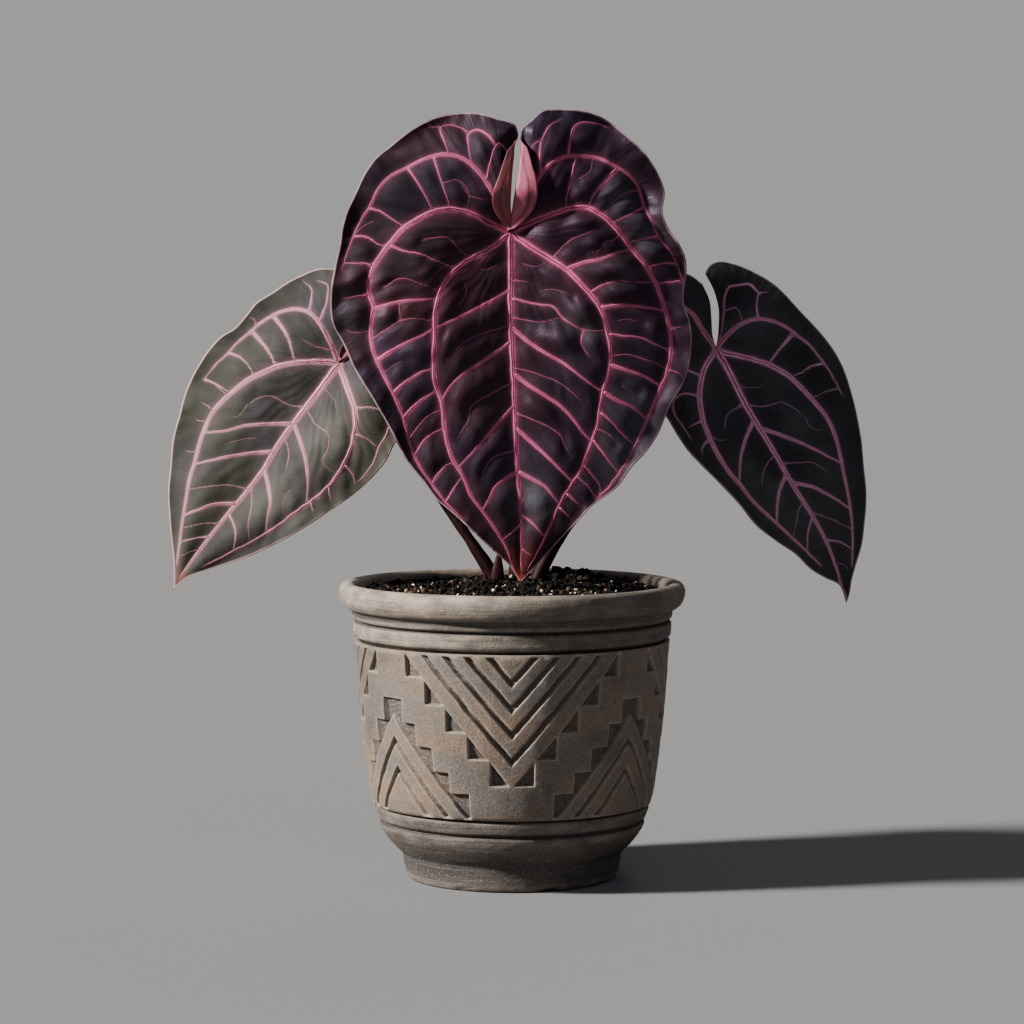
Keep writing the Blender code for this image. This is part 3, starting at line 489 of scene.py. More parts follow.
@dataclass(frozen=True)
class BladeFinish:
    """The upper face of a living blade: a waxy cuticle over dark tissue, paler where it borders the veins."""

    name: str
    dark: str
    light: str
    cool: str
    halo: str
    glow: str
    rim: str
    tip: str
    tip_dark: str = "401a14"
    warm: str = "2a120f"
    # pale is the painted sheen colour and deep the painted shade colour of the listed spots.
    pale: str = "3c3c42"
    deep: str = "0c0607"
    sheen: str = "c8b4da"
    mottle: float = 0.3
    wrinkle: float = 0.75
    halo_strength: float = 0.95
    fray: float = 0.15
    rim_strength: float = 0.5
    roughness: float = 0.44
    specular: float = 0.32

    def build(self) -> Material:
        """Makes the material.

        Returns:
            The material, which reads the attributes near, glow, along, faded, edge, tip, turn and out.
        """
        g = Graph(self.name, "near", "glow", "along", "sheen_and_shade_spots", "edge", "tip", "turn", "out")
        near, glow, along, sheen_and_shade_spots, edge, tip, turn, out = g.marks
        # Reddish brown shows through in broad patches, mostly on the side with negative X.
        side = g.add("MapRange", g.add("SeparateXYZ", g.place), 0.05, -0.06, 0.15, 1.0)
        # The listed spots give painted sheen where positive and painted shade where negative.
        painted_sheen = g.product(sheen_and_shade_spots, g.clouds(9.0, 0.30, 0.62, 0.35, 1.0, detail=4.0))
        deep = g.add("MapRange", sheen_and_shade_spots, 0.0, -1.0)
        # A soft halo fades with the distance from a vein, as exp(-(distance / 0.85)^1.2). A narrow pale band
        # borders the vein itself. Both fray into fine ticks, up to a millimetre apart, where veinlets leave.
        ticks = g.add("CombineXYZ", along, g.product(near, 0.5))
        tick = g.add("TexNoise", {"Vector": ticks, "Scale": 1.0, "Detail": 3.0, "Roughness": 0.6})
        fray = g.add("MapRange", tick, 0.25, 0.75, -self.fray, self.fray)
        away = g.add("Math", g.add("Math", near, fray, operation="ADD"), 0.0, operation="MAXIMUM")
        curve = g.add("Math", g.add("Math", away, 0.85, operation="DIVIDE"), 1.2, operation="POWER")
        fade = g.add("Math", g.product(curve, -1.0), operation="EXPONENT")
        blots = {"detail": 5.0, "stretch": (1.1, 1, 0.9), "rough": 0.65}
        color = g.layers(
            self.dark,
            (self.light, g.clouds(24.0, 0.38, 0.64)),
            (self.cool, g.clouds(40.0, 0.46, 0.66, 0.0, 0.7)),
            (self.light, g.clouds(3.2, 0.40, 0.68, 0.0, self.mottle, detail=5.0, rough=0.65)),
            (self.dark, g.clouds(3.8, 0.42, 0.70, 0.0, self.mottle, **blots)),
            (self.light, g.clouds(0.9, 0.48, 0.72, 0.0, self.mottle, detail=4.0, rough=0.7)),
            (self.warm, g.clouds(46.0, 0.46, 0.60, 0.0, 0.85), side),
            # Painted sheen, then painted shade, on the listed spots.
            (self.pale, g.add("MapRange", painted_sheen, 0.0, 1.0)),
            (self.deep, deep, 0.8),
            (self.halo, fade, glow, 0.88 * self.halo_strength),
            (
                self.glow,
                g.add("MapRange", away, 0.10, 0.42, 1.0, 0.0),
                g.add("MapRange", glow, 0.0, 0.6, 0.1, 0.8 * self.halo_strength),
            ),
            (self.tip_dark, g.add("MapRange", tip, 0.06, 0.40, 0.0, 0.85)),
            (self.tip, g.add("MapRange", tip, 0.82, 1.0, 0.0, 0.9)),
            (self.rim, g.add("MapRange", edge, 0.2, 0.8, self.rim_strength, 0.0)),
        )
        # Fine wrinkles run from the joint to the margin, 3 mm apart, deeper near the margin.
        spread = g.add("CombineXYZ", turn, g.product(out, 0.22))
        inputs = {"Vector": spread, "Scale": 1.0 / 3.0, "Detail": 4.0, "Roughness": 0.55, "Distortion": 0.4}
        folds = g.clouds(30.0, 0.42, 0.60, 0.35, 1.0, detail=2.0)
        marginal = g.add("MapRange", edge, 4.0, 26.0, 1.0, 0.45)
        skin = g.relief(
            (self.wrinkle, folds, marginal, g.add("TexNoise", inputs)),
            (0.20, g.grain(6.0, 4.0, (1, 1, 1.6), 0.6)),
            (0.05, g.grain(1.2)),
        )
        shine = g.clouds(9.0, 0.3, 0.7, self.roughness - 0.06, self.roughness + 0.10, detail=4.0)
        return g.close(
            Base_Color=color,
            Roughness=g.add("Math", shine, g.product(deep, 0.36), operation="ADD"),
            Normal=skin,
            Specular_IOR_Level=self.specular,
            Specular_Tint=linear(self.sheen),
        )


@dataclass(frozen=True)
class UnderFinish:
    """The lower face of a living blade: paler and duller than the upper one, with a net of veinlets."""

    name: str
    base: str
    deep: str
    # A rolled strip takes the lit flap colour or the darker copy below it, which is painted shade.
    flap: str = "a04e66"
    flap_shaded: str = "7c3c44"
    flap_line: str = "46161e"

    def build(self) -> Material:
        """Makes the material.

        Returns:
            The material, which reads the attributes flap and line.
        """
        g = Graph(self.name, "flap", "line")
        flap, line = g.marks
        net = g.add("TexVoronoi", {"Vector": g.place, "Scale": 1000.0 / 4.5}, feature="DISTANCE_TO_EDGE")
        # A strip set to a lit share of 0.5 takes the painted-shade copy of the flap colour.
        rolled = g.layers(
            self.flap_shaded,
            (self.flap, g.add("MapRange", flap, 0.5, 1.0)),
            (self.flap_line, g.clouds(5.0, 0.4, 0.8, 0.0, 0.6, detail=4.0, stretch=(1, 1, 0.4))),
            (self.flap_line, line, 0.9),
        )
        color = g.layers(
            self.base,
            (self.deep, g.clouds(9.0, 0.35, 0.7, detail=4.0)),
            (self.deep, g.add("MapRange", net, 0.0, 0.09, 1.0, 0.0), 0.30),
            (rolled, g.add("MapRange", flap, 0.0, 0.5)),
        )
        fine = g.relief((0.06, g.grain(1.5)))
        return g.close(Base_Color=color, Roughness=0.55, Normal=fine, Specular_IOR_Level=0.3)


@dataclass(frozen=True)
class VeinFinish:
    """Veins: firm pale tissue, with a dark crimson channel down the middle of the main ones, partly painted
    shade.
    """

    name: str
    pale: str
    deep: str
    channel: str
    border: str
    dim: str
    tip: str = "98331f"

    def build(self) -> Material:
        """Makes the material.

        Returns:
            The material, which reads the attributes across, groove, bright, far and tip.
        """
        g = Graph(self.name, "across", "groove", "bright", "far", "tip")
        across, groove, bright, far, tip = g.marks
        aside = g.add("Math", across, operation="ABSOLUTE")
        wavy = g.add("Math", aside, g.clouds(1.4, 0.2, 0.8, -0.14, 0.14), operation="ADD")
        core = g.add("MapRange", wavy, 0.35, 0.85, 1.0, 0.35)
        color = g.layers(
            self.pale,
            (self.deep, g.clouds(5.0, 0.3, 0.7)),
            (self.dim, g.add("MapRange", bright, 0.0, 1.0, 0.9, 0.0)),
            (self.border, g.add("MapRange", wavy, 0.78, 1.05, 0.0, 0.7)),
            # The dark line down the middle is crimson colour and painted shade in the groove.
            (self.channel, g.add("MapRange", wavy, 0.20, 0.42, 1.0, 0.0), groove),
            (self.channel, g.add("MapRange", far, 1.0, 25.0, 0.95, 0.0), core),
            (self.tip, g.add("MapRange", tip, 0.0, 1.0, 0.0, 0.85)),
        )
        fine = g.relief((0.05, g.grain(0.9)))
        return g.close(Base_Color=color, Roughness=0.55, Normal=fine, Specular_IOR_Level=0.14)


@dataclass(frozen=True)
class StalkFinish:
    """Living stalks: smooth dark skin, streaked along its length."""

    name: str
    base: str
    streak: str
    joint: str = "7a2438"

    def build(self) -> Material:
        """Makes the material.

        Returns:
            The material, which reads the attribute joint.
        """
        g = Graph(self.name, "joint")
        streaks = g.clouds(1.4, 0.35, 0.7, detail=4.0, stretch=(1, 1, 0.12))
        color = g.layers(self.base, (self.streak, streaks), (self.joint, g.marks[0]))
        fine = g.relief((0.08, streaks))
        return g.close(Base_Color=color, Roughness=0.55, Normal=fine, Specular_IOR_Level=0.08)


@dataclass(frozen=True)
class ClayFinish:
    """Unglazed fired clay: sandy, brown-grey and tooled in its cuts; edges paler from wear and painted
    highlight, painted shade in cuts and hollows, and painted shade with some soot low down, under the rim and
    towards +X.
    """

    name: str = "fired_clay_skin"
    body: str = "605954"
    warm: str = "725f50"
    soot: str = "3c3734"
    soot_and_shade_color: str = "2b2725"
    worn: str = "b5a899"
    cut: str = "383432"
    # cut is the painted shade colour of the cuts and hollows.
    pale_sand: str = "a0958a"
    dark_sand: str = "29241f"
    speck: str = "1f1b18"

    def build(self) -> Material:
        """Makes the material.

        Returns:
            The material, which reads the attributes worn, carved, tooled, turned and smoky.
        """
        g = Graph(self.name, "worn", "carved", "tooled", "turned", "smoky")
        worn, carved, tooled, wheel, smoky = g.marks
        sand = g.grain(0.9, 4.0, rough=0.7)
        specks = g.add("TexVoronoi", {"Vector": g.place, "Scale": 1000.0 / 5.0}, feature="F1")
        rubbed_and_lit = g.clouds(12.0, 0.36, 0.64, 0.25, 1.0, detail=5.0, stretch=(1, 1, 2), rough=0.6)
        # The wheel drew fine streaks round the turned parts. Painted shade, with some soot, darkens the clay
        # under the rim, low down and towards +X.
        streaks = g.clouds(30.0, 0.42, 0.60, 0.0, 0.70, detail=5.0, stretch=(1, 1, 30), rough=0.65)
        color = g.layers(
            self.body,
            (self.warm, g.clouds(30.0, 0.40, 0.62, detail=5.0, stretch=(1, 1, 1.6), rough=0.6)),
            (self.soot, streaks, wheel),
            (self.soot_and_shade_color, smoky, g.clouds(26.0, 0.35, 0.60, 0.55, 1.0, detail=4.0, stretch=(1, 1, 3))),
            (self.soot, g.clouds(44.0, 0.50, 0.68, 0.0, 0.60, detail=5.0, stretch=(1, 1, 1.5), rough=0.6)),
            # Cuts and hollows are darkened with painted shade.
            (self.cut, carved, 0.55),
            (self.pale_sand, g.add("MapRange", sand, 0.54, 0.70, 0.0, 0.40)),
            (self.dark_sand, g.add("MapRange", sand, 0.46, 0.32, 0.0, 0.60)),
            (self.speck, g.add("MapRange", specks, 0.16, 0.05), g.clouds(20.0, 0.5, 0.6), 0.7),
            # Edges and the rim's top are paler from wear and painted highlight.
            (self.worn, worn, rubbed_and_lit, 0.65),
        )
        pits = g.add("TexVoronoi", {"Vector": g.place, "Scale": 1000.0 / 2.2}, feature="F1")
        waves = {"Vector": g.place, "Scale": 330.0, "Distortion": 3.0, "Detail": 2.0, "Detail Scale": 1.5}
        tool = g.add("TexWave", waves, out="Fac", wave_type="BANDS", bands_direction="DIAGONAL")
        skin = g.relief(
            (0.40, g.grain(26.0, 5.0, (1, 1, 32), 0.65), wheel),
            (0.22, g.grain(2.6, 5.0, rough=0.6)),
            (0.18, tool, tooled),
            (0.30, sand),
            (0.05, g.add("MapRange", pits, 0.0, 0.30)),
        )
        return g.close(Base_Color=color, Roughness=0.66, Normal=skin, Specular_IOR_Level=0.36)


@dataclass(frozen=True)
class GrainFinish:
    """Loose mineral or bark grains, each with its own tone."""

    name: str
    dark: str
    pale: str
    roughness: float = 0.9
    rarity: float = 1.0  # how much commoner the dark ones are

    def build(self) -> Material:
        """Makes the material.

        Returns:
            The material, which reads the attribute tone.
        """
        g = Graph(self.name, "tone")
        color = g.layers(self.dark, (self.pale, g.marks[0]), (self.dark, g.clouds(0.8, 0.4, 0.7, 0.0, 0.4)))
        fine = g.relief((0.18, g.grain(0.6)))
        return g.close(Base_Color=color, Roughness=self.roughness, Normal=fine, Specular_IOR_Level=0.12)


# Leaves


class VeinRank(Enum):
    """How strong a vein is, each value as named below."""

    MIDRIB = (1.45, 0.50, 0.44, 0.80, 0.85, 2.4, 1.0)
    BASAL = (1.15, 0.36, 0.38, 0.75, 0.78, 2.2, 1.0)
    LOBE = (0.90, 0.24, 0.34, 0.60, 0.62, 1.9, 0.75)
    THICK = (0.78, 0.42, 0.31, 0.60, 0.62, 1.6, 0.85)
    PLAIN = (0.50, 0.26, 0.28, 0.0, 0.42, 1.2, 0.48)
    THIN = (0.31, 0.18, 0.25, 0.0, 0.22, 0.9, 0.20)
    FAINT = (0.24, 0.15, 0.26, 0.0, 0.08, 0.8, 0.05)

    def __init__(
        self, start: float, end: float, crest: float, channel: float, halo: float, reach: float, bright: float
    ) -> None:
        """Names the values.

        Args:
            start: Half width where the vein starts.
            end: Half width where it ends.
            crest: Height over the blade.
            channel: How marked the middle channel is, also how dark its painted line of colour and shade is.
                At 1 it is half as deep as the crest is high.
            halo: Strength of the pale halo.
            reach: How far the halo reaches past the vein.
            bright: How pale the vein is.
        """
        self.start, self.end, self.crest = start, end, crest
        self.channel, self.halo, self.reach, self.bright = channel, halo, reach, bright


@dataclass
class Vein:
    """One vein: its strength and its course across the blade."""

    rank: VeinRank
    course: Points
    line: Array = field(init=False)

    def __post_init__(self) -> None:
        """Smooths the course."""
        self.line = smooth_path(self.course, max(4, round(path_length(self.course) / 2.5)))

    def half_width(self, share: Array) -> Array:
        """Gives half the vein's width where a share of its course is passed."""
        return self.rank.start + (self.rank.end - self.rank.start) * share

    def snap(self, others: list["Vein"]) -> None:
        """Moves each end onto a stronger vein that passes close by.

        Args:
            others: The blade's veins.
        """
        for end in (0, -1):
            here = np.array(self.course[end])
            for other in others:
                reach = 3.0 if other.rank.start > self.rank.start else 1.5
                if other is self or other.rank.start < self.rank.start or self.rank.start > 1.0:
                    continue
                dense = resample(other.line, 400)
                gap = np.linalg.norm(dense - here, axis=1)
                if gap.min() < reach:
                    self.course[end] = tuple(dense[gap.argmin()])
                    break
        self.__post_init__()

    def measure(self, across: Array, room: float) -> tuple[Array, Array, Array]:
        """Measures the points near the vein.

        Args:
            across: Points in the blade's frame.
            room: How far past the vein to look.

        Returns:
            Which points are near, how far off they are, and the share of the vein passed at each.
        """
        low, high = self.line.min(axis=0) - room, self.line.max(axis=0) + room
        near = np.nonzero(((across > low) & (across < high)).all(axis=1))[0]
        return near, *nearest(across[near], self.line)


@dataclass
class LeafForm:
    """The shape of one blade. Points are (across, up) from its joint with the stalk, as seen from the front.

    A plane and a gentle arch carry the blade. Between its axis (midrib and sinus) and its margin each half
    swells forward, and droops back towards the margin, where a wave runs round with the angle about the
    joint. Between the veins the blade puffs forward like a quilt, and fine creases run from axis to margin.
    """

    name: str
    joint: tuple[float, float, float]
    lean: tuple[float, float]
    left: Points
    right: Points
    left_sinus: Points
    right_sinus: Points
    midrib: Points
    veins: list[Vein]
    arch: float = 4.0
    bulge: float = 4.0
    droop: tuple[float, float] = (3.0, 3.0)  # how far the left and the right margin fall back
    wave: float = 1.0
    waves: int = 7
    puff: float = 1.3
    crease: float = 0.22
    swells: tuple = ()  # where the blade puffs more: (across, up, spread, extra share)
    thickness: float = 0.7
    lift: float = 1.5  # how far the lobes rise forward to the sinus
    flatter: float = 0.5  # how much flatter the lower margins are
    blush: float = 7.0  # how far the warm colour of the tip reaches
    # The spots below are painted sheen where the share is positive and painted shade where it is negative.
    sheen_and_shade_spots: tuple = ()  # where the blade is paler, or deeper if negative: (across, up, spread, share)

    def __post_init__(self) -> None:
        """Smooths the outlines and joins the veins."""
        self.axes = [smooth_path(line, 60) for line in (self.midrib, self.left_sinus, self.right_sinus)]
        self.margins = [smooth_path(line, 150) for line in (self.left, self.right)]
        for vein in self.veins:
            vein.snap(self.veins)

    def depth(self, across: Array) -> Array:
        """Finds how far back the middle of the blade lies.

        Args:
            across: Points in the blade's frame.

        Returns:
            Their Y in millimetres.
        """
        to_axis = clearance(across, self.axes)
        breadth = to_axis + clearance(across, self.margins)
        share = to_axis / np.maximum(breadth, 1e-6)
        around = np.arctan2(across[:, 0], -across[:, 1])
        ripple = self.wave * np.sin(self.waves * around + 0.7 * np.sin(3 * around)) * share**3
        # Towards the tip the margins straighten out again.
        low = smooth_step(25.0, 100.0, -across[:, 1]) * self.flatter
        droop = np.where(across[:, 0] < 0, *self.droop)
        swell = self.bulge * (1 - 0.5 * low) * np.sin(np.pi * share) ** 2
        form = droop * (1 - low) * share**2 - swell + ripple
        plane = self.lean[0] * across[:, 0] + self.lean[1] * across[:, 1]
        arch = self.arch * (across[:, 1] / 100.0) ** 2
        fade = np.tanh(breadth / 20.0) * smooth_step(0.0, 9.0, breadth)
        to_sinus = clearance(across, self.axes[1:])
        raised = self.lift * np.exp(-((to_sinus / 15.0) ** 2)) * smooth_step(2.0, 20.0, across[:, 1])
        quilt = self.quilt(across, around, share)
        return self.joint[1] + plane + arch + (form - quilt) * fade - raised

    def quilt(self, across: Array, around: Array, share: Array) -> Array:
        """Finds how far the blade puffs forward between the veins, with its fine creases.

        Every vein holds the blade down round it, by its strength times exp(-(distance / reach)^1.6).

        Args:
            across: Points in the blade's frame.
            around: Their angle about the joint.
            share: How far out they are from axis to margin.

        Returns:
            The forward rise in millimetres.
        """
        clear = np.ones(len(across))
        for vein in self.veins:
            strength, reach = min(1.0, 0.42 + vein.rank.crest), 3.5 + 2.2 * vein.rank.crest
            near, gap, passed = vein.measure(across, 2.6 * reach + vein.rank.start)
            beyond = np.maximum(gap - 0.6 * vein.half_width(passed), 0.0)
            clear[near] *= 1 - strength * np.exp(-((beyond / reach) ** 1.6))
        sunk = 1 - clear
        uneven = patches(across, self.swells, 1.0 + 0.5 * noise(across, 24.0, 11))
        crease = np.sin(46 * around + 2.4 * noise(across, 26.0, 12)) * (0.25 + share) * (1 - 0.5 * share)
        lumps = noise(across, 13.0, 13)
        return self.puff * (1 - sunk) * uneven + self.crease * (1.5 * crease + 0.6 * lumps) * (1 - 0.7 * sunk)

    def halo(self, across: Array) -> tuple[Array, Array, Array]:
        """Measures how far off the nearest vein is, in units of its halo's reach.

        Args:
            across: Points in the blade's frame.

        Returns:
            The distance from the vein's side, the strength of that vein's halo, and the way along the vein in
            millimetres, each vein's counted on from the one before.
        """
        away, glow, along = np.full(len(across), 6.0), np.zeros(len(across)), np.zeros(len(across))
        start = 0.0
        for vein in self.veins:
            near, gap, share = vein.measure(across, 6.0 * vein.rank.reach + vein.rank.start)
            scaled = (gap - 0.8 * vein.half_width(share)) / (vein.rank.reach * (1 - 0.45 * share))
            closer = scaled < away[near]
            length = path_length(vein.line)
            away[near] = np.where(closer, scaled, away[near])
            glow[near] = np.where(closer, vein.rank.halo * (1 - 0.7 * share**2), glow[near])
            along[near] = np.where(closer, start + length * share, along[near])
            start += length
        return away, glow, along

    def surface(self, across: Array) -> tuple[Array, Array]:
        """Places points on the blade.

        Args:
            across: Points in the blade's frame.

        Returns:
            The points, and the forward normal at each.
        """
        step = 0.4
        here = self.depth(across)
        right = (self.depth(across + (step, 0.0)) - here) / step
        up = (self.depth(across + (0.0, step)) - here) / step
        points = np.stack([self.joint[0] + across[:, 0], here, self.joint[2] + across[:, 1]], axis=1)
        return points, unit(np.stack([right, -np.ones(len(here)), up], axis=1))


@dataclass(frozen=True)
class RolledMargin:
    """The margin of the sinus, rolled forward and back over the blade, so that its lower face shows."""

    width: Points  # (height over the joint, width that shows)
    radius: float = 1.6
    lift: float = 0.12
    columns: int = 16
    # 1 for a lit strip; 0.5 gives it the darker flap colour as painted shade.
    lit_share: float = 1.0  # 1 for the pale strip, 0.5 for the dark one

    def shares(self) -> Array:
        """Gives the share of the strip's length at each column, from its free edge to the blade."""
        return np.linspace(1.0, 1.0 / self.columns, self.columns)

    def lines(self, up: Array) -> Array:
        """Marks the veinlets that run along the strip: one down its middle, and side ones that leave it.

        Args:
            up: The height over the joint at each row.

        Returns:
            Values between 0 and 1, one row for each column of the strip.
        """
        share = self.shares()[:, None]
        middle = 0.62 + 0.10 * np.sin(up / 9.0)
        main = np.exp(-(((share - middle) / 0.045) ** 2))
        side = np.exp(-((np.sin((up + 14.0 * np.abs(share - middle)) / 2.6) / 0.16) ** 2))
        edge = np.exp(-(((share - 1.0) / 0.05) ** 2))
        return np.clip(main + 0.35 * side + 0.5 * edge, 0.0, 1.0)

    def build(self, edge: Array, normal: Array, up: Array, side: float) -> tuple[Array, Array]:
        """Bends the strip: round a circle forward and over, then on in a straight line.

        Args:
            edge: The points of the blade's edge that it grows from.
            normal: The blade's forward normal there.
            up: Their height over the joint.
            side: 1 where the strip first goes towards +X, -1 where it goes towards -X.

        Returns:
            The strip's points and normals, from its free edge to the blade, one row for each column.
        """
        shown = np.maximum(np.interp(up, *smooth_path(self.width, 80).T), 0.0)
        length = shown + 2.14 * self.radius * np.clip(shown / 2.5, 0.0, 1.0)
        points, normals = [], []
        for run in self.shares()[:, None] * length:
            turn = np.minimum(run / self.radius, math.pi)
            flat = np.maximum(run - math.pi * self.radius, 0.0)
            curl = np.sin(np.clip(flat / 7.0, 0, 1) * math.pi)
            at = edge.copy()
            at[:, 0] += side * (self.radius * np.sin(turn) - flat)
            at[:, 1] -= self.radius * (1 - np.cos(turn)) + self.lift * flat + 0.5 * curl
            way = normal * np.cos(turn)[:, None]
            way[:, 0] -= side * np.sin(turn)
            points.append(at)
            normals.append(unit(way))
        return np.array(points), np.array(normals)


@dataclass
class Leaf:
    """One leaf blade with its veins, as finer pieces than the CAD node that they stand for."""

    form: LeafForm
    top: BladeFinish
    under: UnderFinish
    vein: VeinFinish
    rows: int
    columns: int
    shoulder: float  # share of the rows above the joint
    flaps: tuple[RolledMargin | None, RolledMargin | None] = (None, None)

    def build(self) -> list[Piece]:
        """Makes the blade and its veins.

        Returns:
            Both pieces.
        """
        blade, veins = self.blade(), self.veins()
        for piece in (blade, veins):
            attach(piece, "root")
        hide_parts(f"leaf_{self.form.name}")
        return [blade, veins]

    def half(self, side: float) -> tuple[Array, ...]:
        """Makes the middle sheet of one half.

        Rows run straight from the axis (above the joint the sinus, below it the midrib) to the margin.

        Args:
            side: 1 for the left half, whose rolled margin first goes towards +X, and -1 for the right half.

        Returns:
            Points, normals, places in the blade's frame, how much each point belongs to a rolled margin and
            to a veinlet in it, the signed angle about the joint, and triangles.
        """
        form, above = self.form, round(self.rows * self.shoulder)
        sinus, outline = (form.left_sinus, form.left) if side > 0 else (form.right_sinus, form.right)
        midrib = smooth_path(form.midrib, self.rows - above)[1:]
        inner = np.concatenate([smooth_path(sinus, above + 1), midrib])
        rows = len(inner)
        share = np.linspace(0, 1, self.columns + 1)[:, None, None]
        across = ((1 - share) * inner + share * smooth_path(outline, rows)).reshape(-1, 2)
        points, normal = [array.reshape(-1, rows, 3) for array in form.surface(across)]
        rolled, line = np.zeros(points.shape[:2]), np.zeros(points.shape[:2])
        margin = self.flaps[0 if side > 0 else 1]
        if margin is not None:
            up = np.where(np.arange(rows) <= above, inner[:, 1], 0.0)
            strip, way = margin.build(points[0], normal[0], up, side)
            points, normal = np.concatenate([strip, points]), np.concatenate([way, normal])
            rolled = np.concatenate([np.full(strip.shape[:2], margin.lit_share), rolled])
            line = np.concatenate([margin.lines(up), line])
            across = np.concatenate([np.tile(inner, (len(strip), 1)), across])
        faces = split_quads(grid_faces(len(points), rows))
        faces = faces if side > 0 else faces[:, ::-1]
        turn = np.arctan2(-side * across[:, 0], -across[:, 1])
        turn = side * np.where(turn < -math.pi / 2, turn + 2 * math.pi, turn)
        return points.reshape(-1, 3), normal.reshape(-1, 3), across, rolled.ravel(), line.ravel(), turn, faces

    def blade(self) -> Piece:
        """Makes the blade: both halves joined at the midrib, a front and a back face, and a wall round them.

        Returns:
            The blade, with the attributes near, glow, along, faded, edge, tip, flap, line, turn and out.
        """
        form, halves = self.form, [self.half(1.0), self.half(-1.0)]
        *parts, faces = [np.concatenate(pair) for pair in zip(*halves)]
        faces[len(halves[0][-1]) :] += len(halves[0][0])
        kept, faces = weld(parts[0], faces, 3)
        points, normal, across, rolled, line, turn = [part[kept] for part in parts]
        half = normal * form.thickness / 2
        back = np.concatenate([faces[:, ::-1] + len(points), skirt(open_edges(faces), len(points))])
        both = np.concatenate([points + half, points - half])
        blade = make_mesh(f"blade_{form.name}", both, [faces, back], [self.top.build(), self.under.build()])
        near, glow, along = form.halo(across)
        tip = np.linalg.norm(across - form.midrib[-1], axis=1)
        marks = {
            "near": near,
            "glow": glow * (rolled == 0),
            "along": along,
            # Spots of painted sheen and painted shade.
            "sheen_and_shade_spots": np.clip(patches(across, form.sheen_and_shade_spots, np.zeros(len(across))), -1.0, 1.0),
            "edge": clearance(across, form.margins),
            "tip": np.exp(-((tip / form.blush) ** 1.6)),
            "flap": rolled,
            "line": line,
            "turn": 60.0 * turn,
            "out": np.linalg.norm(across, axis=1),
        }
        paint(blade, **{name: np.tile(array, 2) for name, array in marks.items()})
        return blade

    def route(self, vein: Vein) -> tuple[Array, Array]:
        """Samples a vein's course, cut back where it lies on a stronger vein's ridge.

        Args:
            vein: The vein.

        Returns:
            The places of its rings in the blade's frame, and how open it is at each: 0 where it starts or
            ends free, so that it tapers away there, and 1 elsewhere and where it joins another vein.
        """
        line = smooth_path(vein.course, max(12, round(path_length(vein.course) / 0.35)))
        free = np.ones(len(line), bool)
        for other in self.form.veins:
            if other.rank.start > vein.rank.start + 0.15 and vein.rank.start < 1.0:
                gap, share = nearest(line, other.line)
                free &= gap > 0.42 * other.half_width(share)
        where = np.nonzero(free)[0]
        joined = (where[0] > 0, where[-1] < len(line) - 1)
        line = line[where[0] : where[-1] + 1]
        line = resample(line, max(6, round(path_length(line) / 1.05)))
        step = np.arange(len(line))
        room = [np.where(meets, 9.0, away) for meets, away in zip(joined, (step, step[::-1]))]
        wander = 0.20 * noise(line, 8.0, 22)
        return line + sideways(line) * wander[:, None], np.sqrt(np.clip(np.minimum(*room) / 3.5 + 0.02, 0, 1))

    def veins(self) -> Piece:
        """Makes every vein as a closed strip that goes through the blade: a ridge in front and a rib behind.

        With u from -1 to 1 across the vein, the front follows crest * (1 - |u|^2.6), less a narrow channel
        down the middle, and the back is the round rib 1.5 * crest * (1 - u^2).

        Returns:
            The veins, with the attributes across, groove, bright, far and tip.
        """
        half = (0.11, 0.24, 0.42, 0.64, 0.86, 1.0)
        u = np.array([*[-x for x in half[::-1]], 0.0, *half, 0.8, 0.45, 0.0, -0.45, -0.8])
        ring, behind = len(u), np.arange(len(u)) > 2 * len(half)
        n = np.arange(1, ring - 1)
        cap = np.stack([0 * n, n, n + 1], axis=1)
        places, heights, marks, faces, first = [], [], [], [], 0
        for vein in self.form.veins:
            line, close = self.route(vein)
            rings, share = len(line), np.linspace(0, 1, len(line))
            width = vein.half_width(share) * (1 + 0.08 * noise(line, 9.0, 21)) * close
            crest = vein.rank.crest * (1 - 0.5 * share) * close
            ridge = (1 - np.abs(u) ** 2.6) - 0.5 * vein.rank.channel * np.exp(-((u / 0.20) ** 2))
            rise = crest[:, None] * np.where(behind, 1.5 * (1 - u**2), ridge)[None] - 0.09
            spread = sideways(line)[:, None] * (width[:, None] * u)[..., None]
            places.append((line[:, None] + spread).reshape(-1, 2))
            heights.append(((self.form.thickness / 2 + rise) * np.where(behind, -1.0, 1.0)).ravel())
            bright = vein.rank.bright * (1 - 0.4 * share) * (0.4 + 0.6 * close)
            # The strength of the dark middle line: crimson colour and painted shade in the groove.
            groove = (min(1.0, vein.rank.channel * 1.25) * (1 - 0.35 * share))[:, None] * ~behind
            marks.append(np.stack(np.broadcast_arrays(u, groove, bright[:, None]), axis=-1).reshape(-1, 3))
            sides = split_quads(grid_faces(rings, ring, wrap=True))[:, ::-1]
            faces.append(first + np.concatenate([sides, cap, cap[:, [0, 2, 1]] + (rings - 1) * ring]))
            first += rings * ring
        place, height, mark = [np.concatenate(part) for part in (places, heights, marks)]
        points, normal = self.form.surface(place)
        points += normal * height[:, None]
        made = make_mesh(f"veins_{self.form.name}", points, [np.concatenate(faces)], [self.vein.build()])
        tip = np.exp(-((np.linalg.norm(place - self.form.midrib[-1], axis=1) / 6.0) ** 1.6))
        # The veins that rise into the lobes stay dark for longer than those that run down.
        far = np.linalg.norm(place, axis=1) + 14.0 * smooth_step(-6.0, 1.0, -place[:, 1])
        paint(made, across=mark[:, 0], groove=mark[:, 1], bright=mark[:, 2], far=far, tip=tip)
        return made


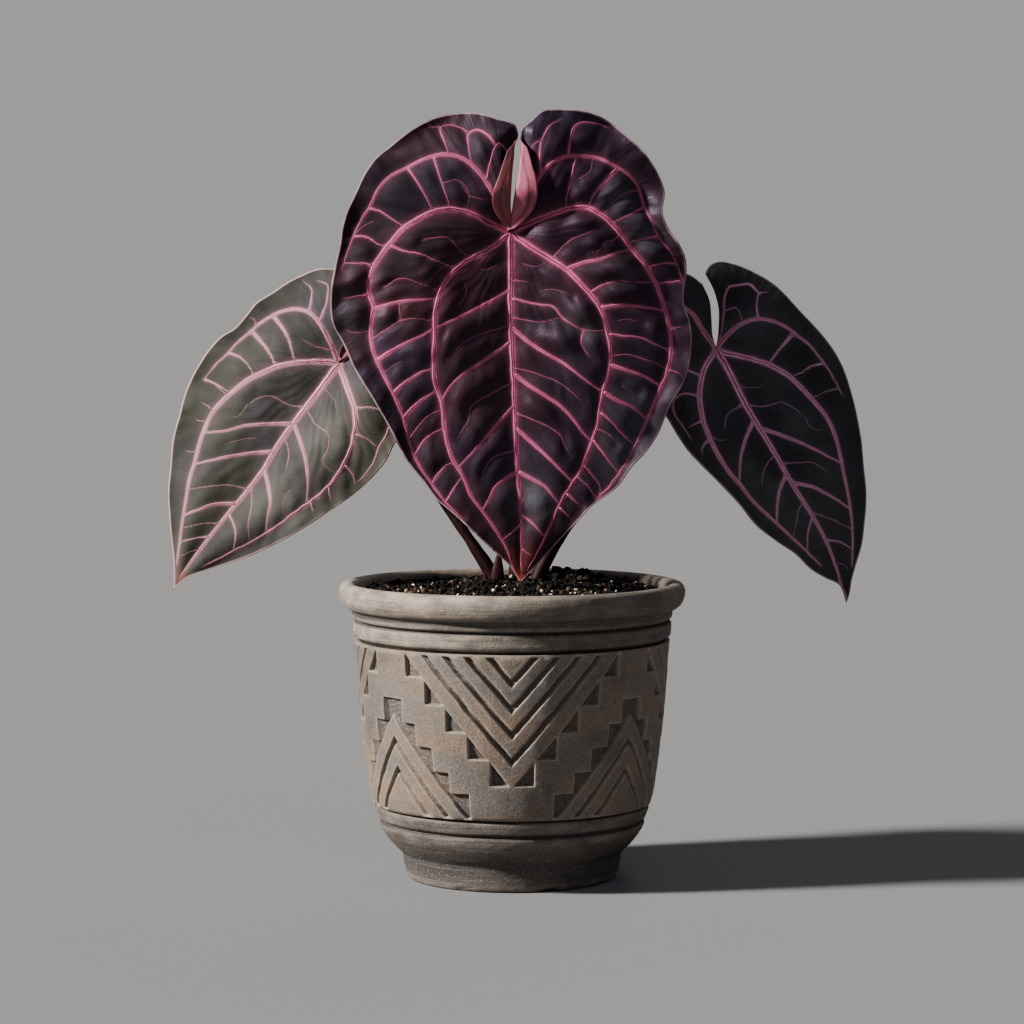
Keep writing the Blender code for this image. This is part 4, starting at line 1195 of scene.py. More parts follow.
def veins_of(groups: dict[VeinRank, list[tuple[float, ...]]]) -> list[Vein]:
    """Makes one vein for each course, which gives across and up in turn, by rank."""
    return [Vein(rank, pairs(*course)) for rank, courses in groups.items() for course in courses]


CENTRE_VEINS = {
    VeinRank.MIDRIB: [
        (0, 1, 0, -17.5, 0, -37, 1, -62, 2, -87.5, 3, -107, 4, -120, 5, -133, 5, -143.5, 4.7, -155),
    ],
    VeinRank.BASAL: [
        (0, 0, -9.5, -7.5, -18.5, -12, -25, -16.5, -29, -21.5, -32.5, -28, -34, -34, -34.5, -46, -35, -62,
        -34, -70, -31.5, -76.5, -30.5, -85.5, -29.5, -92.5, -27, -101.5, -21.5, -111, -18, -119.5, -13.5,
        -125.5, -5.5, -137, -1.5, -144.5, 1, -152, 3.2, -156.5), (0, 0, -10, 4.5, -18.5, 9, -26, 10.5, -35,
        9.5, -42, 6, -48.5, 2, -53.5, -3.5, -59, -10.5, -62.5, -16, -64.5, -26.5, -62.3, -34.5, -63.5,
        -41.5, -63, -52, -59.8, -60.5, -56.5, -67, -53, -74, -48.8, -84, -46, -95.5, -41.5, -106, -37,
        -112.5, -29.5, -122.5, -22, -130), (0, 0, 8.5, -6, 18, -12, 25.5, -17, 31.5, -23, 36.5, -28.5,
        40.5, -34.5, 43.5, -43.5, 45.3, -54.5, 44.5, -63.5, 41.8, -72.5, 39.5, -86.5, 35, -99.5, 32,
        -107.5, 27.5, -114.5, 22, -124, 16, -137.5, 10, -149, 6.8, -155), (0, 0, 11.5, 5.5, 21, 9, 27.5,
        11, 34.5, 11.3, 41, 8, 47, 2.5, 54.5, -7, 60.5, -14.5, 65.5, -22.5, 68.8, -31, 71.5, -41, 72.8,
        -50, 71.5, -61.5, 68, -70.5, 62.5, -84, 57, -96, 53.5, -103, 49, -109.5, 45.5, -114.5, 39, -121),
    ],
    VeinRank.LOBE: [
        (0, 0, -2.8, 4.5, -6, 13, -8.5, 18.5, -12, 24, -17, 30, -22.5, 33.8, -28.5, 35.3, -35, 34.7, -41,
        32.6, -48, 29, -55.5, 25, -60.5, 19.5, -64, 12, -68, 6, -71.5, -1.5, -75, -11, -77, -17), (0, 0,
        3.2, 4.5, 7, 13.5, 12, 23.5, 15.5, 28.5, 20, 32.3, 26, 34.5, 33, 34.5, 40, 33.5, 46.5, 30.5, 52.5,
        27, 57, 22.5, 60.3, 13, 64, 5, 67.5, -2.5, 72.5, -8.5, 76, -15, 78.3, -22),
    ],
    VeinRank.THICK: [
        (0, -26, -9, -31, -18.5, -36, -28, -40.5, -34, -43.5), (0.5, -49.5, -9, -56, -15, -60, -21.5, -64,
        -25.5, -67.5, -29, -72, -31.5, -76.5), (1.5, -79, -3, -83.5, -8, -89, -12.5, -94.5, -18, -100.5,
        -24, -107), (2.5, -109, -2, -111.5, -7.5, -116, -9.5, -120.5, -13, -126), (0.5, -43, 8.5, -50,
        16.5, -55, 24.5, -59.5, 31.5, -65, 37.5, -69.5, 42, -72.5), (1, -64, 8.5, -69.5, 16.5, -74.5, 23,
        -79, 29, -85.5, 33.5, -91.5, 37, -95), (2, -88.5, 11.5, -97, 18, -103, 23, -108, 28, -113.5), (3.5,
        -108.5, 10, -112, 16, -115.5, 19.5, -120, 22.5, -123.5), (-63, -35, -55.5, -32.5, -47.5, -31, -41,
        -30.5, -33.5, -30), (-61, -58, -50.5, -51.5, -45.5, -49, -38, -45.5, -34, -43), (-53.5, -73.5, -50,
        -69.5, -45, -66, -40, -63, -35, -62.3), (-48.5, -84, -42.5, -77.5, -33.5, -71.5), (25.5, -16.8,
        31.5, -14, 41, -12, 47, -9.5, 55, -7.8), (40, -34, 47, -33, 57, -33.5, 69.5, -35.5), (45, -60,
        51.5, -62, 60, -65, 68.5, -69.7), (41.5, -72, 47, -75.5, 54, -78.5, 62.5, -84.8), (48.5, 29.3, 42,
        22.5, 37.5, 16.5, 34.7, 11.5),
    ],
    VeinRank.PLAIN: [
        (4.3, -132.5, 0, -136.5, -4, -140), (0.8, -30, 11.5, -32.5, 20, -34, 23, -38, 27.5, -41.5, 33, -44,
        43, -44.5), (33, -44.5, 32, -50, 34.5, -54.5, 36.5, -57), (4.7, -128, 10, -132, 15.5, -138.5),
        (-54, -7, -46, -9, -41.5, -9.5, -35, -12.5, -28, -15, -24.5, -16), (-43.5, -101.5, -41, -96.5, -37,
        -92, -30.5, -88.5), (-36, -115, -33.5, -110.5, -30, -106.5, -25.5, -104), (-29.5, -122.5, -26,
        -116.5, -22, -110.5), (-62.5, -15, -67, -14, -72.5, -14, -75.5, -14), (-64.5, -28, -73.5, -29.5,
        -78, -30), (-35, 34, -31.5, 23, -27, 10.7), (-47, 29.5, -40, 19, -35, 9.7), (-64, 11, -60, 10,
        -54.5, 6.5, -48, 2), (-71.5, -1.5, -64.5, -2.5, -59, -6, -54, -5.5), (-11, 23.5, -9, 32, -7, 38.5,
        -5.5, 40.3, -3, 38.5, -1, 34.5), (-7, 39.5, -11, 44.5, -15.5, 46.5, -19, 45, -19, 39, -17, 30.5),
        (-32.5, 47.5, -30.5, 42, -28, 35.3), (36, -27.5, 43.5, -23, 49.5, -22, 57.5, -22.5, 65.5, -22.7),
        (44, -46, 52.5, -47, 59, -47.5, 64, -50, 72.5, -53.5), (40.5, -81, 47, -87, 51.5, -92.5, 57, -97),
        (37, -94, 42, -100, 46.5, -106, 49, -109.5), (26, -118.5, 31.5, -124), (22, -124.5, 27.5, -130),
        (30, 34.5, 27, 23, 24.5, 10.5), (60.5, 11.5, 55, 8.5, 45.5, 4), (67, -2, 57.5, -3.5, 53, -5.5),
        (76, -14, 68.5, -14, 62, -16), (76, -23, 66, -23), (13.5, 26, 14, 41, 18, 48.5, 23, 51.5), (26,
        34.5, 27, 42, 30, 49, 36.5, 50, 45, 47.5),
    ],
    VeinRank.THIN: [
        (1.5, -68, -10.5, -74, -15, -76.5, -18, -79, -19, -84.5, -21.5, -89, -24.5, -93.5), (0.5, -42, -5,
        -43.5, -13.5, -46, -21.5, -50, -29.5, -58), (2, -99.5, -3, -100, -9, -103, -11.5, -107, -13.5,
        -112.5), (0.8, -22, 5, -22, 10.5, -23), (1, -38.5, 13.5, -40.5, 23, -39), (5, -143.5, 9.5, -147),
        (4, -82, 10.5, -85, 16, -87.5, 23, -92.5, 24.5, -96.5, 27, -100.5), (3, -61, 10, -63.5, 17.5, -66,
        21, -67.5, 27.5, -72, 32, -76.5), (-40, -3.5, -35, -2.5, -28.5, -2.5, -24, -7, -18.5, -11.5),
        (-57.5, -25, -50, -21, -41, -23, -32.5, -27), (-62.5, -48.5, -55.5, -43.5, -50, -40, -44, -39,
        -34.5, -40.5), (-50, -40, -50.5, -32), (-46.5, -94, -41.5, -87.5, -38.5, -84, -30.5, -80), (-19,
        45, -23, 47.5, -27, 49, -32.5, 48, -38.5, 48), (18.5, -12, 23, -7.5, 29, -2.5, 34.5, -0.5, 39.5,
        1.5), (49, -2, 47, -3.5, 42.5, -4.5, 40.5, -7.5, 34.5, -9.5), (33, -105, 37.5, -110.5, 41, -116.5,
        40, -120), (30, -110.5, 35.5, -115.5, 38.5, -120.5), (40, -89.5, 44.5, -91.5, 48, -95.5), (45, -56,
        54, -55.5, 59.5, -57, 66.5, -59.5, 71, -62), (59, 19.5, 52.5, 18, 48.5, 15.5, 42, 8.5), (14, 42,
        10, 39.5, 8.5, 34), (-76, -44, -70, -45.5, -63.5, -45), (72.8, -44, 77, -43, 80.5, -41.5), (71.5,
        -62, 76, -63.5, 78.5, -66),
    ],
    VeinRank.FAINT: [
        (-30.5, 22.5, -23.5, 23.5, -19.5, 19.5, -19, 11), (-12, 15, -18, 16.5, -23.5, 23.5), (8, -116, 6,
        -121, 7.5, -127), (50, -68.5, 53, -71.5, 58, -73), (-58, -64, -52.5, -60, -47.5, -57.5), (-24, -34,
        -20, -26.5, -22.5, -20), (13, -26.5, 21, -26, 28, -29), (47, -40, 54, -39.5, 60, -41), (-69.5, -2,
        -66, 3.5, -60.5, 5.5), (31, 24, 36, 27.5, 37, 33), (5, -14, 12, -15.5, 17, -13.5), (-5, -14, -11.5,
        -17, -17.5, -15.5),
    ],
}

CENTRE_FORM = LeafForm(
    name="centre",
    joint=(-0.6, -14.0, 297.6),
    lean=(0.0, 0.11),
    arch=3.0,
    bulge=6.0,
    droop=(1.5, -0.5),
    wave=1.8,
    waves=11,
    puff=2.5,
    crease=0.28,
    lift=6.5,
    flatter=1.3,
    blush=13.0,
    # Spots of painted sheen (positive share) and painted shade (negative share).
    sheen_and_shade_spots=(
        (9, -122, 12, 0.9), (55, -100, 16, 0.8), (78, -68, 11, -0.6), (-77, -38, 13, 0.7),
        (63, -1, 8, 0.8), (68, 12, 7, -0.6), (48, 15, 9, 0.8), (32, -45, 9, 0.5), (-18, -88, 9, 0.2),
        (54, -18, 7, 0.5), (57, -77, 9, 0.7), (-46, 24, 24, -0.9), (-68, 0, 20, -0.9),
        (-50, -12, 13, -0.7), (-40, -2, 9, -0.6), (-54, -84, 16, -0.8), (-38, -110, 14, -0.8),
        (22, -78, 9, -0.5), (-12, 42, 14, -0.5),
    ),
    swells=(
        (62, -4, 24, 1.4), (40, -22, 16, 0.9), (-54, 16, 20, -0.5), (50, 20, 14, 0.9), (-68, -30, 16, 0.9),
        (22, -52, 14, 0.8), (66, -78, 20, 0.7),
    ),
    left=pairs(
        3.5, 45, 2, 49, 0, 50, -5.5, 51.5, -13.5, 54, -20, 54.5, -27.5, 54, -36.5, 51.5, -44, 47.5, -50.5,
        43, -55.5, 39, -61, 34.5, -65.5, 28.5, -71.5, 16.5, -75, 9, -77, 2, -78, -6, -80, -15, -82, -30.5,
        -82, -35.5, -80.5, -43, -77, -49, -71.5, -61, -62, -76.5, -52, -94.5, -47.5, -103.5, -39.5, -113.5,
        -34.5, -120.5, -28, -126, -18.5, -134.5, -9, -143.5, -0.5, -151.5, 4.4, -159.2,
    ),
    right=pairs(
        5, 46.5, 6.5, 48.5, 8.5, 50, 15, 55.5, 21, 56, 31.5, 55.5, 40.5, 53, 47, 49, 54.5, 42.5, 60.5,
        36.5, 64, 32, 67.5, 26, 70, 19, 69, 9, 71, 3, 77, -6, 79.5, -12, 80, -18.5, 78.5, -30, 82, -43.5,
        82, -52.5, 81, -60.5, 77, -71, 73, -77.5, 66.5, -92.5, 62, -99, 54.5, -107, 48.5, -115.5, 42,
        -120.5, 36.5, -124.5, 31.5, -130, 23, -139, 17.5, -145, 10.5, -152.5, 4.4, -159.2,
    ),
    left_sinus=pairs(3.5, 45, 1, 42, -0.5, 33, -1.5, 21.5, -1.8, 11, -1.2, 4.5, 0, 0),
    right_sinus=pairs(5, 46.5, 6.2, 42, 5.4, 29, 3.2, 15, 1.8, 6.5, 0, 0),
    midrib=pairs(0, 0, 0, -17.5, 0, -37, 1, -62, 2, -87.5, 3, -107, 4, -120, 5, -133, 5, -143.5, 4.4, -159.2),
    veins=veins_of(CENTRE_VEINS),
)

LEFT_VEINS = {
    VeinRank.MIDRIB: [
        (0.5, 0.7, -9.5, -13, -18.5, -24.5, -27.5, -36.5, -35, -49, -45, -62, -51.5, -69.5, -61, -81.5,
        -69, -92, -75.5, -101),
    ],
    VeinRank.BASAL: [
        (0, 0.5, -9.5, 1, -20, 0.5, -29, -1.5, -36, -4.5, -43, -8, -50, -13.5, -55.5, -18.5, -60, -24, -63,
        -30.5, -65.5, -37.5, -67.5, -45.5, -70, -53.5, -71.5, -62, -72.8, -70, -74, -78, -75, -86, -76,
        -94), (0, -0.5, 2.5, -6.5, 5, -13, 7.3, -19, 8.2, -26, 7.5, -32.5, 5.5, -40, 2.5, -46.5, -2, -53.5,
        -8, -60, -14, -64.5, -21, -69.5, -27.5, -74.5, -34.5, -79, -42, -83.5, -49, -87, -56, -90.5, -64,
        -94.5),
    ],
    VeinRank.LOBE: [
        (0, 0, -4, 10, -8.5, 18, -13.5, 23.5, -20.5, 25.2, -27, 24, -32.5, 21.5, -37.5, 18.3, -42.5, 14,
        -48, 9.5, -52.5, 4.5, -58, -0.5, -64, -8), (0, 0, 6.5, 6, 15.5, 10.5, 25, 10.5, 31.5, 6, 33.5, -3,
        30.5, -13.5, 25, -25.5),
    ],
    VeinRank.THICK: [
        (-21, -28, -32.5, -28, -44, -29, -53.5, -31.5, -63, -32.5), (-30.5, -40.5, -44, -42, -55, -44, -67,
        -47.5), (-48, -65, -58.5, -65.5, -65.5, -68, -72.5, -71), (-20, -28.5, -17.5, -36.5, -15, -44.5,
        -14, -52.5, -15, -64.5), (-34.5, -49, -32.5, -57.5, -31.5, -64, -33, -72, -34, -78), (-31, 21.5,
        -24.5, 13.5, -20.5, 1), (-41, 14.5, -34, 7, -29, -1),
    ],
    VeinRank.PLAIN: [
        (-60.5, -80.5, -67.5, -81.5, -74.5, -83.5), (-50.5, -70.5, -48, -77.5, -49.5, -86.5), (-52, 4.5,
        -45.5, 2, -39.5, -5.5), (-63.5, -8, -58, -10, -51, -13.5), (-13.5, 24, -13.5, 35.5, -17, 38),
        (-8.5, 19, -5.5, 29.5, -5.5, 36.5, -11, 38.5), (8.5, -20, 13, -20, 18.5, -20.5, 26, -23.5), (8,
        -32, 12, -33.5, 16, -36.5, 19, -38.5), (24.5, -27, 21.5, -34.5, 19, -38.5, 17, -44, 12.5, -51, 7.5,
        -55.5), (3, -46, 7.5, -52.5, 7.5, -55.5), (-4, -56.5, -3.5, -63.5), (-13, -64, -11.5, -69),
    ],
    VeinRank.THIN: [
        (-15.5, -20.5, -24, -19, -32, -15, -37.5, -16, -43, -19.5), (-15, -20.5, -9.5, -29, -4.5, -32,
        -4.5, -39, -7, -44.5, -2.5, -49.5, 0.5, -50.5), (-42, -58.5, -52, -56.5, -62, -57.5, -70.5, -59),
        (-25, -33.5, -23, -42, -24.5, -50), (-55, -75, -62.5, -74.5, -72.5, -77), (-40.5, -57, -40.5,
        -66.5, -42, -75, -41.5, -83), (-2, 6, -12, 8.5, -19, 12.5), (-59, -22.5, -62.5, -19.5, -65.5,
        -18.5), (-61.5, -27.5, -65, -27, -69, -26.5), (-65.8, -42, -69, -41.5, -73.5, -41), (-52, -15.5,
        -56.5, -12, -60, -11.5), (-39, 17, -40.5, 20.5, -42.5, 21.5),
    ],
    VeinRank.FAINT: [
        (-43, -19.5, -47.5, -25, -52, -24.5), (-38, -34.5, -46, -35.5, -53, -37.5), (-6, -12, -1.5, -17,
        -0.5, -23.5), (-22, -58, -25.5, -63, -26, -70), (-64.5, -87, -70, -88, -75.5, -90),
    ],
}

LEFT_FORM = LeafForm(
    name="left",
    joint=(-80.5, 14.0, 237.2),
    lean=(-0.25, 0.20),
    # Spots of painted sheen (positive share) and painted shade (negative share).
    sheen_and_shade_spots=(
        (0, -36, 16, 0.7), (-24, -68, 15, 0.6), (-26, 31, 13, -0.5), (-46, 21, 12, -0.6),
        (-63, -2, 12, -0.6), (-73, -30, 12, -0.5), (10, 30, 12, -0.4),
    ),
    left=pairs(
        15.5, 34, 11, 40, 4, 43, -3, 44, -10, 44, -17, 41.5, -25, 37.5, -32.5, 32.5, -39, 28.5, -44.5, 22,
        -50, 16, -56, 12.5, -60.5, 8, -65.5, 1, -69.5, -6, -73, -14.5, -75.5, -24, -78.5, -35.5, -79.5,
        -46.5, -80.5, -62, -80, -70, -79, -81, -77.5, -95, -77.5, -105.5,
    ),
    right=pairs(
        26, 23.5, 34.5, 22, 41, 14.5, 43.5, 3.5, 42.5, -9, 37.5, -23, 26.5, -36, 22.5, -44, 15.5, -52.5, 6,
        -61, -3.5, -67.5, -13, -74, -27.5, -82.5, -41, -89, -52, -93, -64, -97, -70.5, -99.5, -77.5,
        -105.5,
    ),
    left_sinus=pairs(15.5, 34, 15.5, 26.5, 11.5, 18.5, 6.5, 12.5, 0, 0),
    right_sinus=pairs(26, 23.5, 16.5, 17.5, 9, 11, 0, 0),
    midrib=pairs(
        0, 0, -9.5, -13, -18.5, -24.5, -27.5, -36.5, -34.5, -49, -45, -62, -51.5, -69.5, -61, -81.5, -69,
        -92, -77.5, -105.5,
    ),
    veins=veins_of(LEFT_VEINS),
)

RIGHT_VEINS = {
    VeinRank.MIDRIB: [
        (-0.4, 0.8, 7.3, -13, 13.5, -25.5, 19.5, -35.5, 26, -46, 32, -56.5, 38, -66.5, 45, -77.5, 51,
        -88.5, 55.5, -99.5, 59.8, -113.5),
    ],
    VeinRank.BASAL: [
        (1, -0.5, 7.5, -2.3, 18, -4.7, 25, -7.3, 33, -11.7, 39.5, -17.5, 46, -24.5, 52, -32, 55.8, -40,
        57.8, -47.5, 59.5, -56, 61.5, -66, 63, -75, 63.8, -85, 63.8, -93, 63.5, -101), (-1, -1.5, -5.5, -8,
        -7.8, -16, -8, -24.5, -6.5, -32.5, -3, -41.5, 1.7, -50.5, 6.5, -57.5, 11, -62.5, 16, -69, 22, -75,
        28, -80.5, 35, -87, 42.5, -94, 49, -100.5),
    ],
    VeinRank.LOBE: [
        (1, 1, 5.5, 7, 12, 12, 19.5, 14.2, 27, 13, 33.5, 10, 38.5, 6.2, 43.5, 2.5, 47.5, -2, 51, -6.5,
        54.5, -11.5, 57.8, -17.5, 60.5, -23), (-1, 0.5, -5.5, 7.5, -13, 18, -22.5, 21.5, -30, 15.5, -32, 3,
        -29, -9.5, -23, -20.5),
    ],
    VeinRank.THICK: [
        (20, -36, 31, -40, 41, -44, 50, -48.5, 59, -53.5), (35, -62, 45.5, -64, 54, -68.5, 63, -74.5), (17,
        -32.5, 13.5, -41, 11, -49.5, 11, -62), (32.5, -58, 29, -66, 28, -74, 28, -80.5), (36.5, 7.5, 30,
        0.5, 24, -7),
    ],
    VeinRank.PLAIN: [
        (51.5, -88.5, 58, -89.5, 64, -93.5), (45, -77.5, 42.5, -85, 42.5, -94), (50.5, -7, 45, -8, 40, -11,
        34.5, -12.8), (19.5, 14.2, 19, 21.5, 20.5, 26, 25, 26.5), (20.5, 26, 15.5, 30.3, 10.5, 29.8, 5.8,
        28.9, 4.2, 25, 3.6, 18, 2.6, 9, 0.6, 1), (-8, -21, -17, -20.5, -20.5, -24, -20, -28.5, -15, -36.5,
        -11.5, -42), (-6.5, -32.5, -15, -36.5), (-3, -41, -6.5, -44, -7, -49), (-8, -12, -13.5, -9.5, -22,
        -8, -29, -9),
    ],
    VeinRank.THIN: [
        (14, -26, 24.5, -26, 30.5, -24.5, 35, -26.5, 41.5, -31.5), (30.5, -53, 38, -52.5, 46.5, -53, 53,
        -58.5), (13, -25, 4, -31, 3.5, -38), (27, -48.5, 21.5, -56.5, 21, -64), (56, -19.5, 51, -20, 45,
        -23), (40.5, -70, 37, -78.5, 36.5, -87), (44, -75.5, 53, -78.5, 62.5, -84), (4.5, 17.5, 9.5, 19.5,
        12, 12.5),
    ],
    VeinRank.FAINT: [
        (41.5, -31.5, 44.5, -36.5, 50.5, -37.5), (11, -16.5, 19, -17.5, 26, -14.5), (-4.5, -38, 2, -42, 6,
        -40), (55.5, -99, 59.5, -100, 62.5, -104),
    ],
}

RIGHT_FORM = LeafForm(
    name="right",
    joint=(95.0, 16.0, 243.7),
    lean=(0.25, 0.20),
    # Spots of painted sheen (positive share) and painted shade (negative share).
    sheen_and_shade_spots=(
        (38, -34, 12, 0.7), (44, -84, 18, 0.6), (14, -58, 9, 0.7), (50, -56, 9, 0.5), (28, -18, 9, 0.5),
        (18, 12, 12, 0.5), (-14, -14, 8, 0.5), (28, -66, 8, 0.6), (22, -34, 10, -0.45), (8, 26, 9, -0.6),
        (48, -22, 12, -0.5), (34, -52, 10, -0.4),
    ),
    left=pairs(
        -6.5, 30.5, -12.5, 34.8, -22.5, 36, -31, 33, -36.5, 25.5, -40, 14.5, -39.5, 0.5, -36.5, -11, -31,
        -22.5, -23.5, -31, -19, -38.5, -14, -46, -7.5, -53, 1, -61.5, 10, -71, 18.5, -81.5, 28, -89, 37.5,
        -95.5, 44, -102, 51.5, -106.5, 57.5, -109.5, 60, -113, 61, -118,
    ),
    right=pairs(
        -5, 35.5, -3, 39, 1.5, 41, 6, 40.5, 11.5, 39, 18.5, 36, 27, 31, 33.5, 25, 41, 17, 48.5, 9, 55, 1,
        60, -7.5, 64, -18.5, 67, -31, 69, -43.5, 70, -56, 71, -67, 70, -81, 68.5, -91.5, 65.5, -101, 63.5,
        -108, 62.5, -114, 61, -118,
    ),
    left_sinus=pairs(-6.5, 30.5, -3.2, 23, -2.4, 15, -1.8, 7, 0, 0),
    right_sinus=pairs(-5, 35.5, -1, 27.5, 1.2, 19.5, 1.2, 10, 0, 0),
    midrib=pairs(
        0, 0, 7.5, -12, 14, -26.5, 19, -35.5, 26, -45, 32.5, -57.5, 37.5, -66, 45, -77.5, 51, -88, 55.5,
        -99.5, 61, -118,
    ),
    veins=veins_of(RIGHT_VEINS),
)


# Pot


@dataclass(frozen=True)
class Frieze:
    """The carved band. Its pattern, in (degrees, height), repeats four times and is wider at the front."""

    low: float = 35.0
    high: float = 110.3
    depth: float = 2.1
    drift: float = 6.4
    repeats: int = 4
    arc: float = 1.22  # millimetres for each degree
    field_step: float = 2.4
    edge_step: float = 1.2
    skin: float = 3.4
    barrel: tuple = (
        (35.0, 64.4), (40.5, 65.9), (54.0, 67.7), (67.0, 69.4), (81.0, 70.9), (92.0, 71.6), (110.3, 73.0)
    )  # the radius at each height, as (height, radius)

    @staticmethod
    def chevron(center: float, tip: float, end: float, rise: float, slope: float) -> Points:
        """Draws one carved V or upturned V.

        Args:
            center: The angle of its tip.
            tip: The height of its tip.
            end: The height where its arms end.
            rise: Its height on the slope.
            slope: Millimetres for each degree.

        Returns:
            Its outline.
        """
        way = 1.0 if end > tip else -1.0
        near, far = tip - way * rise / 2, tip + way * rise / 2
        wide, slim = abs(end - near) / slope, abs(end - far) / slope
        outer = [(center - wide, end), (center, near), (center + wide, end)]
        return outer + [(center + slim, end), (center, far), (center - slim, end)]

    def outlines(self) -> list[Points]:
        """Draws every carved area that touches one repeat, which runs from -45 to 45 degrees.

        Returns:
            The outlines, each anticlockwise, in (millimetres round, height).
        """
        rise, slope, base = 4.0, 1.6, 49.7  # a V's height, its steepness, and where the front steps meet
        areas = [self.chevron(0.0, tip, 109.2, rise, slope) for tip in (97.6, 85.9, 74.1, 62.0)]
        for n in range(5):
            edge, tread = 37.5 - 7.5 * n, 99.0 - 12.0 * n
            for side in (-1.0, 1.0):
                corner = (side * (tread - base) / slope, tread)
                areas.append([(side * edge, tread), corner, (side * edge, base + slope * edge)])
        peak, low, top = 12.0 / 7.6, 35.8, 80.5  # the side peaks' steepness, their foot and their tip
        half_widths = [(4.7, 88.2), (10.3, 77.7), (16.7, 67.3), (22.9, 56.5), (30.0, 47.0)]
        steps = []
        for (half, head), foot in zip(half_widths, [77.7, 67.3, 56.5, 47.0, low]):
            steps += [(half, head), (half, foot)]
        inner = (top - low) / peak
        for center in (-45.0, 45.0):
            left = [(center - a, z) for a, z in reversed(steps)]
            right = [(center + a, z) for a, z in steps]
            areas.append(left + right + [(center + inner, low), (center, top), (center - inner, low)])
            areas += [self.chevron(center, tip, low, rise, peak) for tip in (69.1, 55.5)]
        scaled = [[(a * self.arc, z) for a, z in area] for area in areas]
        return [area if self.area(area) > 0 else area[::-1] for area in scaled]

    @staticmethod
    def area(outline: Points) -> float:
        """Finds twice the area inside an outline, positive where it runs anticlockwise."""
        return sum(a[0] * b[1] - b[0] * a[1] for a, b in zip(outline, outline[1:] + outline[:1]))

    @staticmethod
    def inset(outline: Points, gap: float) -> Array:
        """Moves every side of an outline inwards.

        Args:
            outline: Its corners, anticlockwise.
            gap: How far to move them; outwards if negative.

        Returns:
            The new corners.
        """
        corner = np.array(outline)
        side = unit(np.roll(corner, -1, axis=0) - corner)
        before = np.roll(side, 1, axis=0)
        both = side[:, ::-1] * (-1, 1) + before[:, ::-1] * (-1, 1)
        reach = 2.0 / np.maximum((both**2).sum(axis=1), 0.35)
        return corner + gap * both * reach[:, None]

    def loop(self, corners: Array) -> Array:
        """Puts points along a closed outline.

        Args:
            corners: Its corners.

        Returns:
            Points no further apart than the edge step, the first one not repeated.
        """
        parts = []
        for a, b in zip(corners, np.roll(corners, -1, axis=0)):
            count = max(1, math.ceil(np.linalg.norm(b - a) / self.edge_step))
            parts.append(a + (b - a) * np.linspace(0, 1, count, endpoint=False)[:, None])
        return np.concatenate(parts)

    def inside(self, points: Array) -> Array:
        """Measures the signed distance to the nearest carved edge.

        Args:
            points: Places on the unrolled band.

        Returns:
            The distance, positive inside a carved area.
        """
        signed = np.full(len(points), -99.0)
        for outline in self.outlines():
            path = np.array(outline + outline[:1])
            gap, _ = nearest(points, path)
            a, b = path[:-1], path[1:]
            level = (a[None, :, 1] > points[:, None, 1]) != (b[None, :, 1] > points[:, None, 1])
            rise = np.where(b[:, 1] == a[:, 1], 1.0, b[:, 1] - a[:, 1])
            cross = a[:, 0] + (points[:, None, 1] - a[:, 1]) * (b[:, 0] - a[:, 0]) / rise
            within = (level & (points[:, None, 0] < cross)).sum(axis=1) % 2 == 1
            signed = np.maximum(signed, np.where(within, gap, -gap))
        return signed

    def plan(self) -> tuple[Array, Array]:
        """Triangulates one repeat, with rows of points along both sides of every carved edge.

        Returns:
            Points in (millimetres round, height), and triangles.
        """
        half = 180.0 / self.repeats * self.arc
        points, edges = [], []
        for outline in self.outlines():
            for gap in (-0.65, -0.18, 0.02, 0.42, 0.85):
                ring = self.loop(self.inset(outline, gap))
                ring[:, 1] = np.clip(ring[:, 1], self.low + 0.3, self.high - 0.3)
                first = len(points)
                edges += [(first + n, first + (n + 1) % len(ring)) for n in range(len(ring))]
                points += ring.tolist()
        round_it, up = np.linspace(-half, half, 91), np.linspace(self.low, self.high, 48)
        box = [[(x, z) for x in round_it] for z in (self.low, self.high)]
        box += [[(x, z) for z in up] for x in (-half, half)]
        for line in box:
            edges += [(len(points) + n, len(points) + n + 1) for n in range(len(line) - 1)]
            points += line
        x = np.arange(-half + self.field_step, half - 0.5 * self.field_step, self.field_step)
        x -= (x[0] + x[-1]) / 2
        z = np.arange(self.low + 1.6, self.high - 1.0, self.field_step * 0.87)
        grid = np.stack(np.meshgrid(x, z), axis=-1)
        grid[1::2, :, 0] += np.where(grid[1::2, :, 0] > 0, -0.5, 0.5) * self.field_step
        grid = grid.reshape(-1, 2)
        points += grid[np.abs(self.inside(grid)) > 1.3].tolist()
        found = delaunay_2d_cdt(points, edges, [], 0, 0.02)
        plan = np.array([tuple(p) for p in found[0]])
        faces = np.array([face for face in found[2] if len(face) == 3])
        faces = faces[np.abs(plan[faces].mean(axis=1)[:, 0]) < half]
        used, index = np.unique(faces, return_inverse=True)
        plan, faces = plan[used], index.reshape(-1, 3)
        # Both sides of the repeat get the same heights, so that neighbouring repeats meet point for point.
        sides = [np.nonzero(np.abs(plan[:, 0] - x) < 0.03)[0] for x in (-half, half)]
        sides = [side[np.argsort(plan[side, 1])] for side in sides]
        plan[sides[0], 0], plan[sides[1], 0] = -half, half
        plan[sides[1], 1] = plan[sides[0], 1]
        return plan, faces

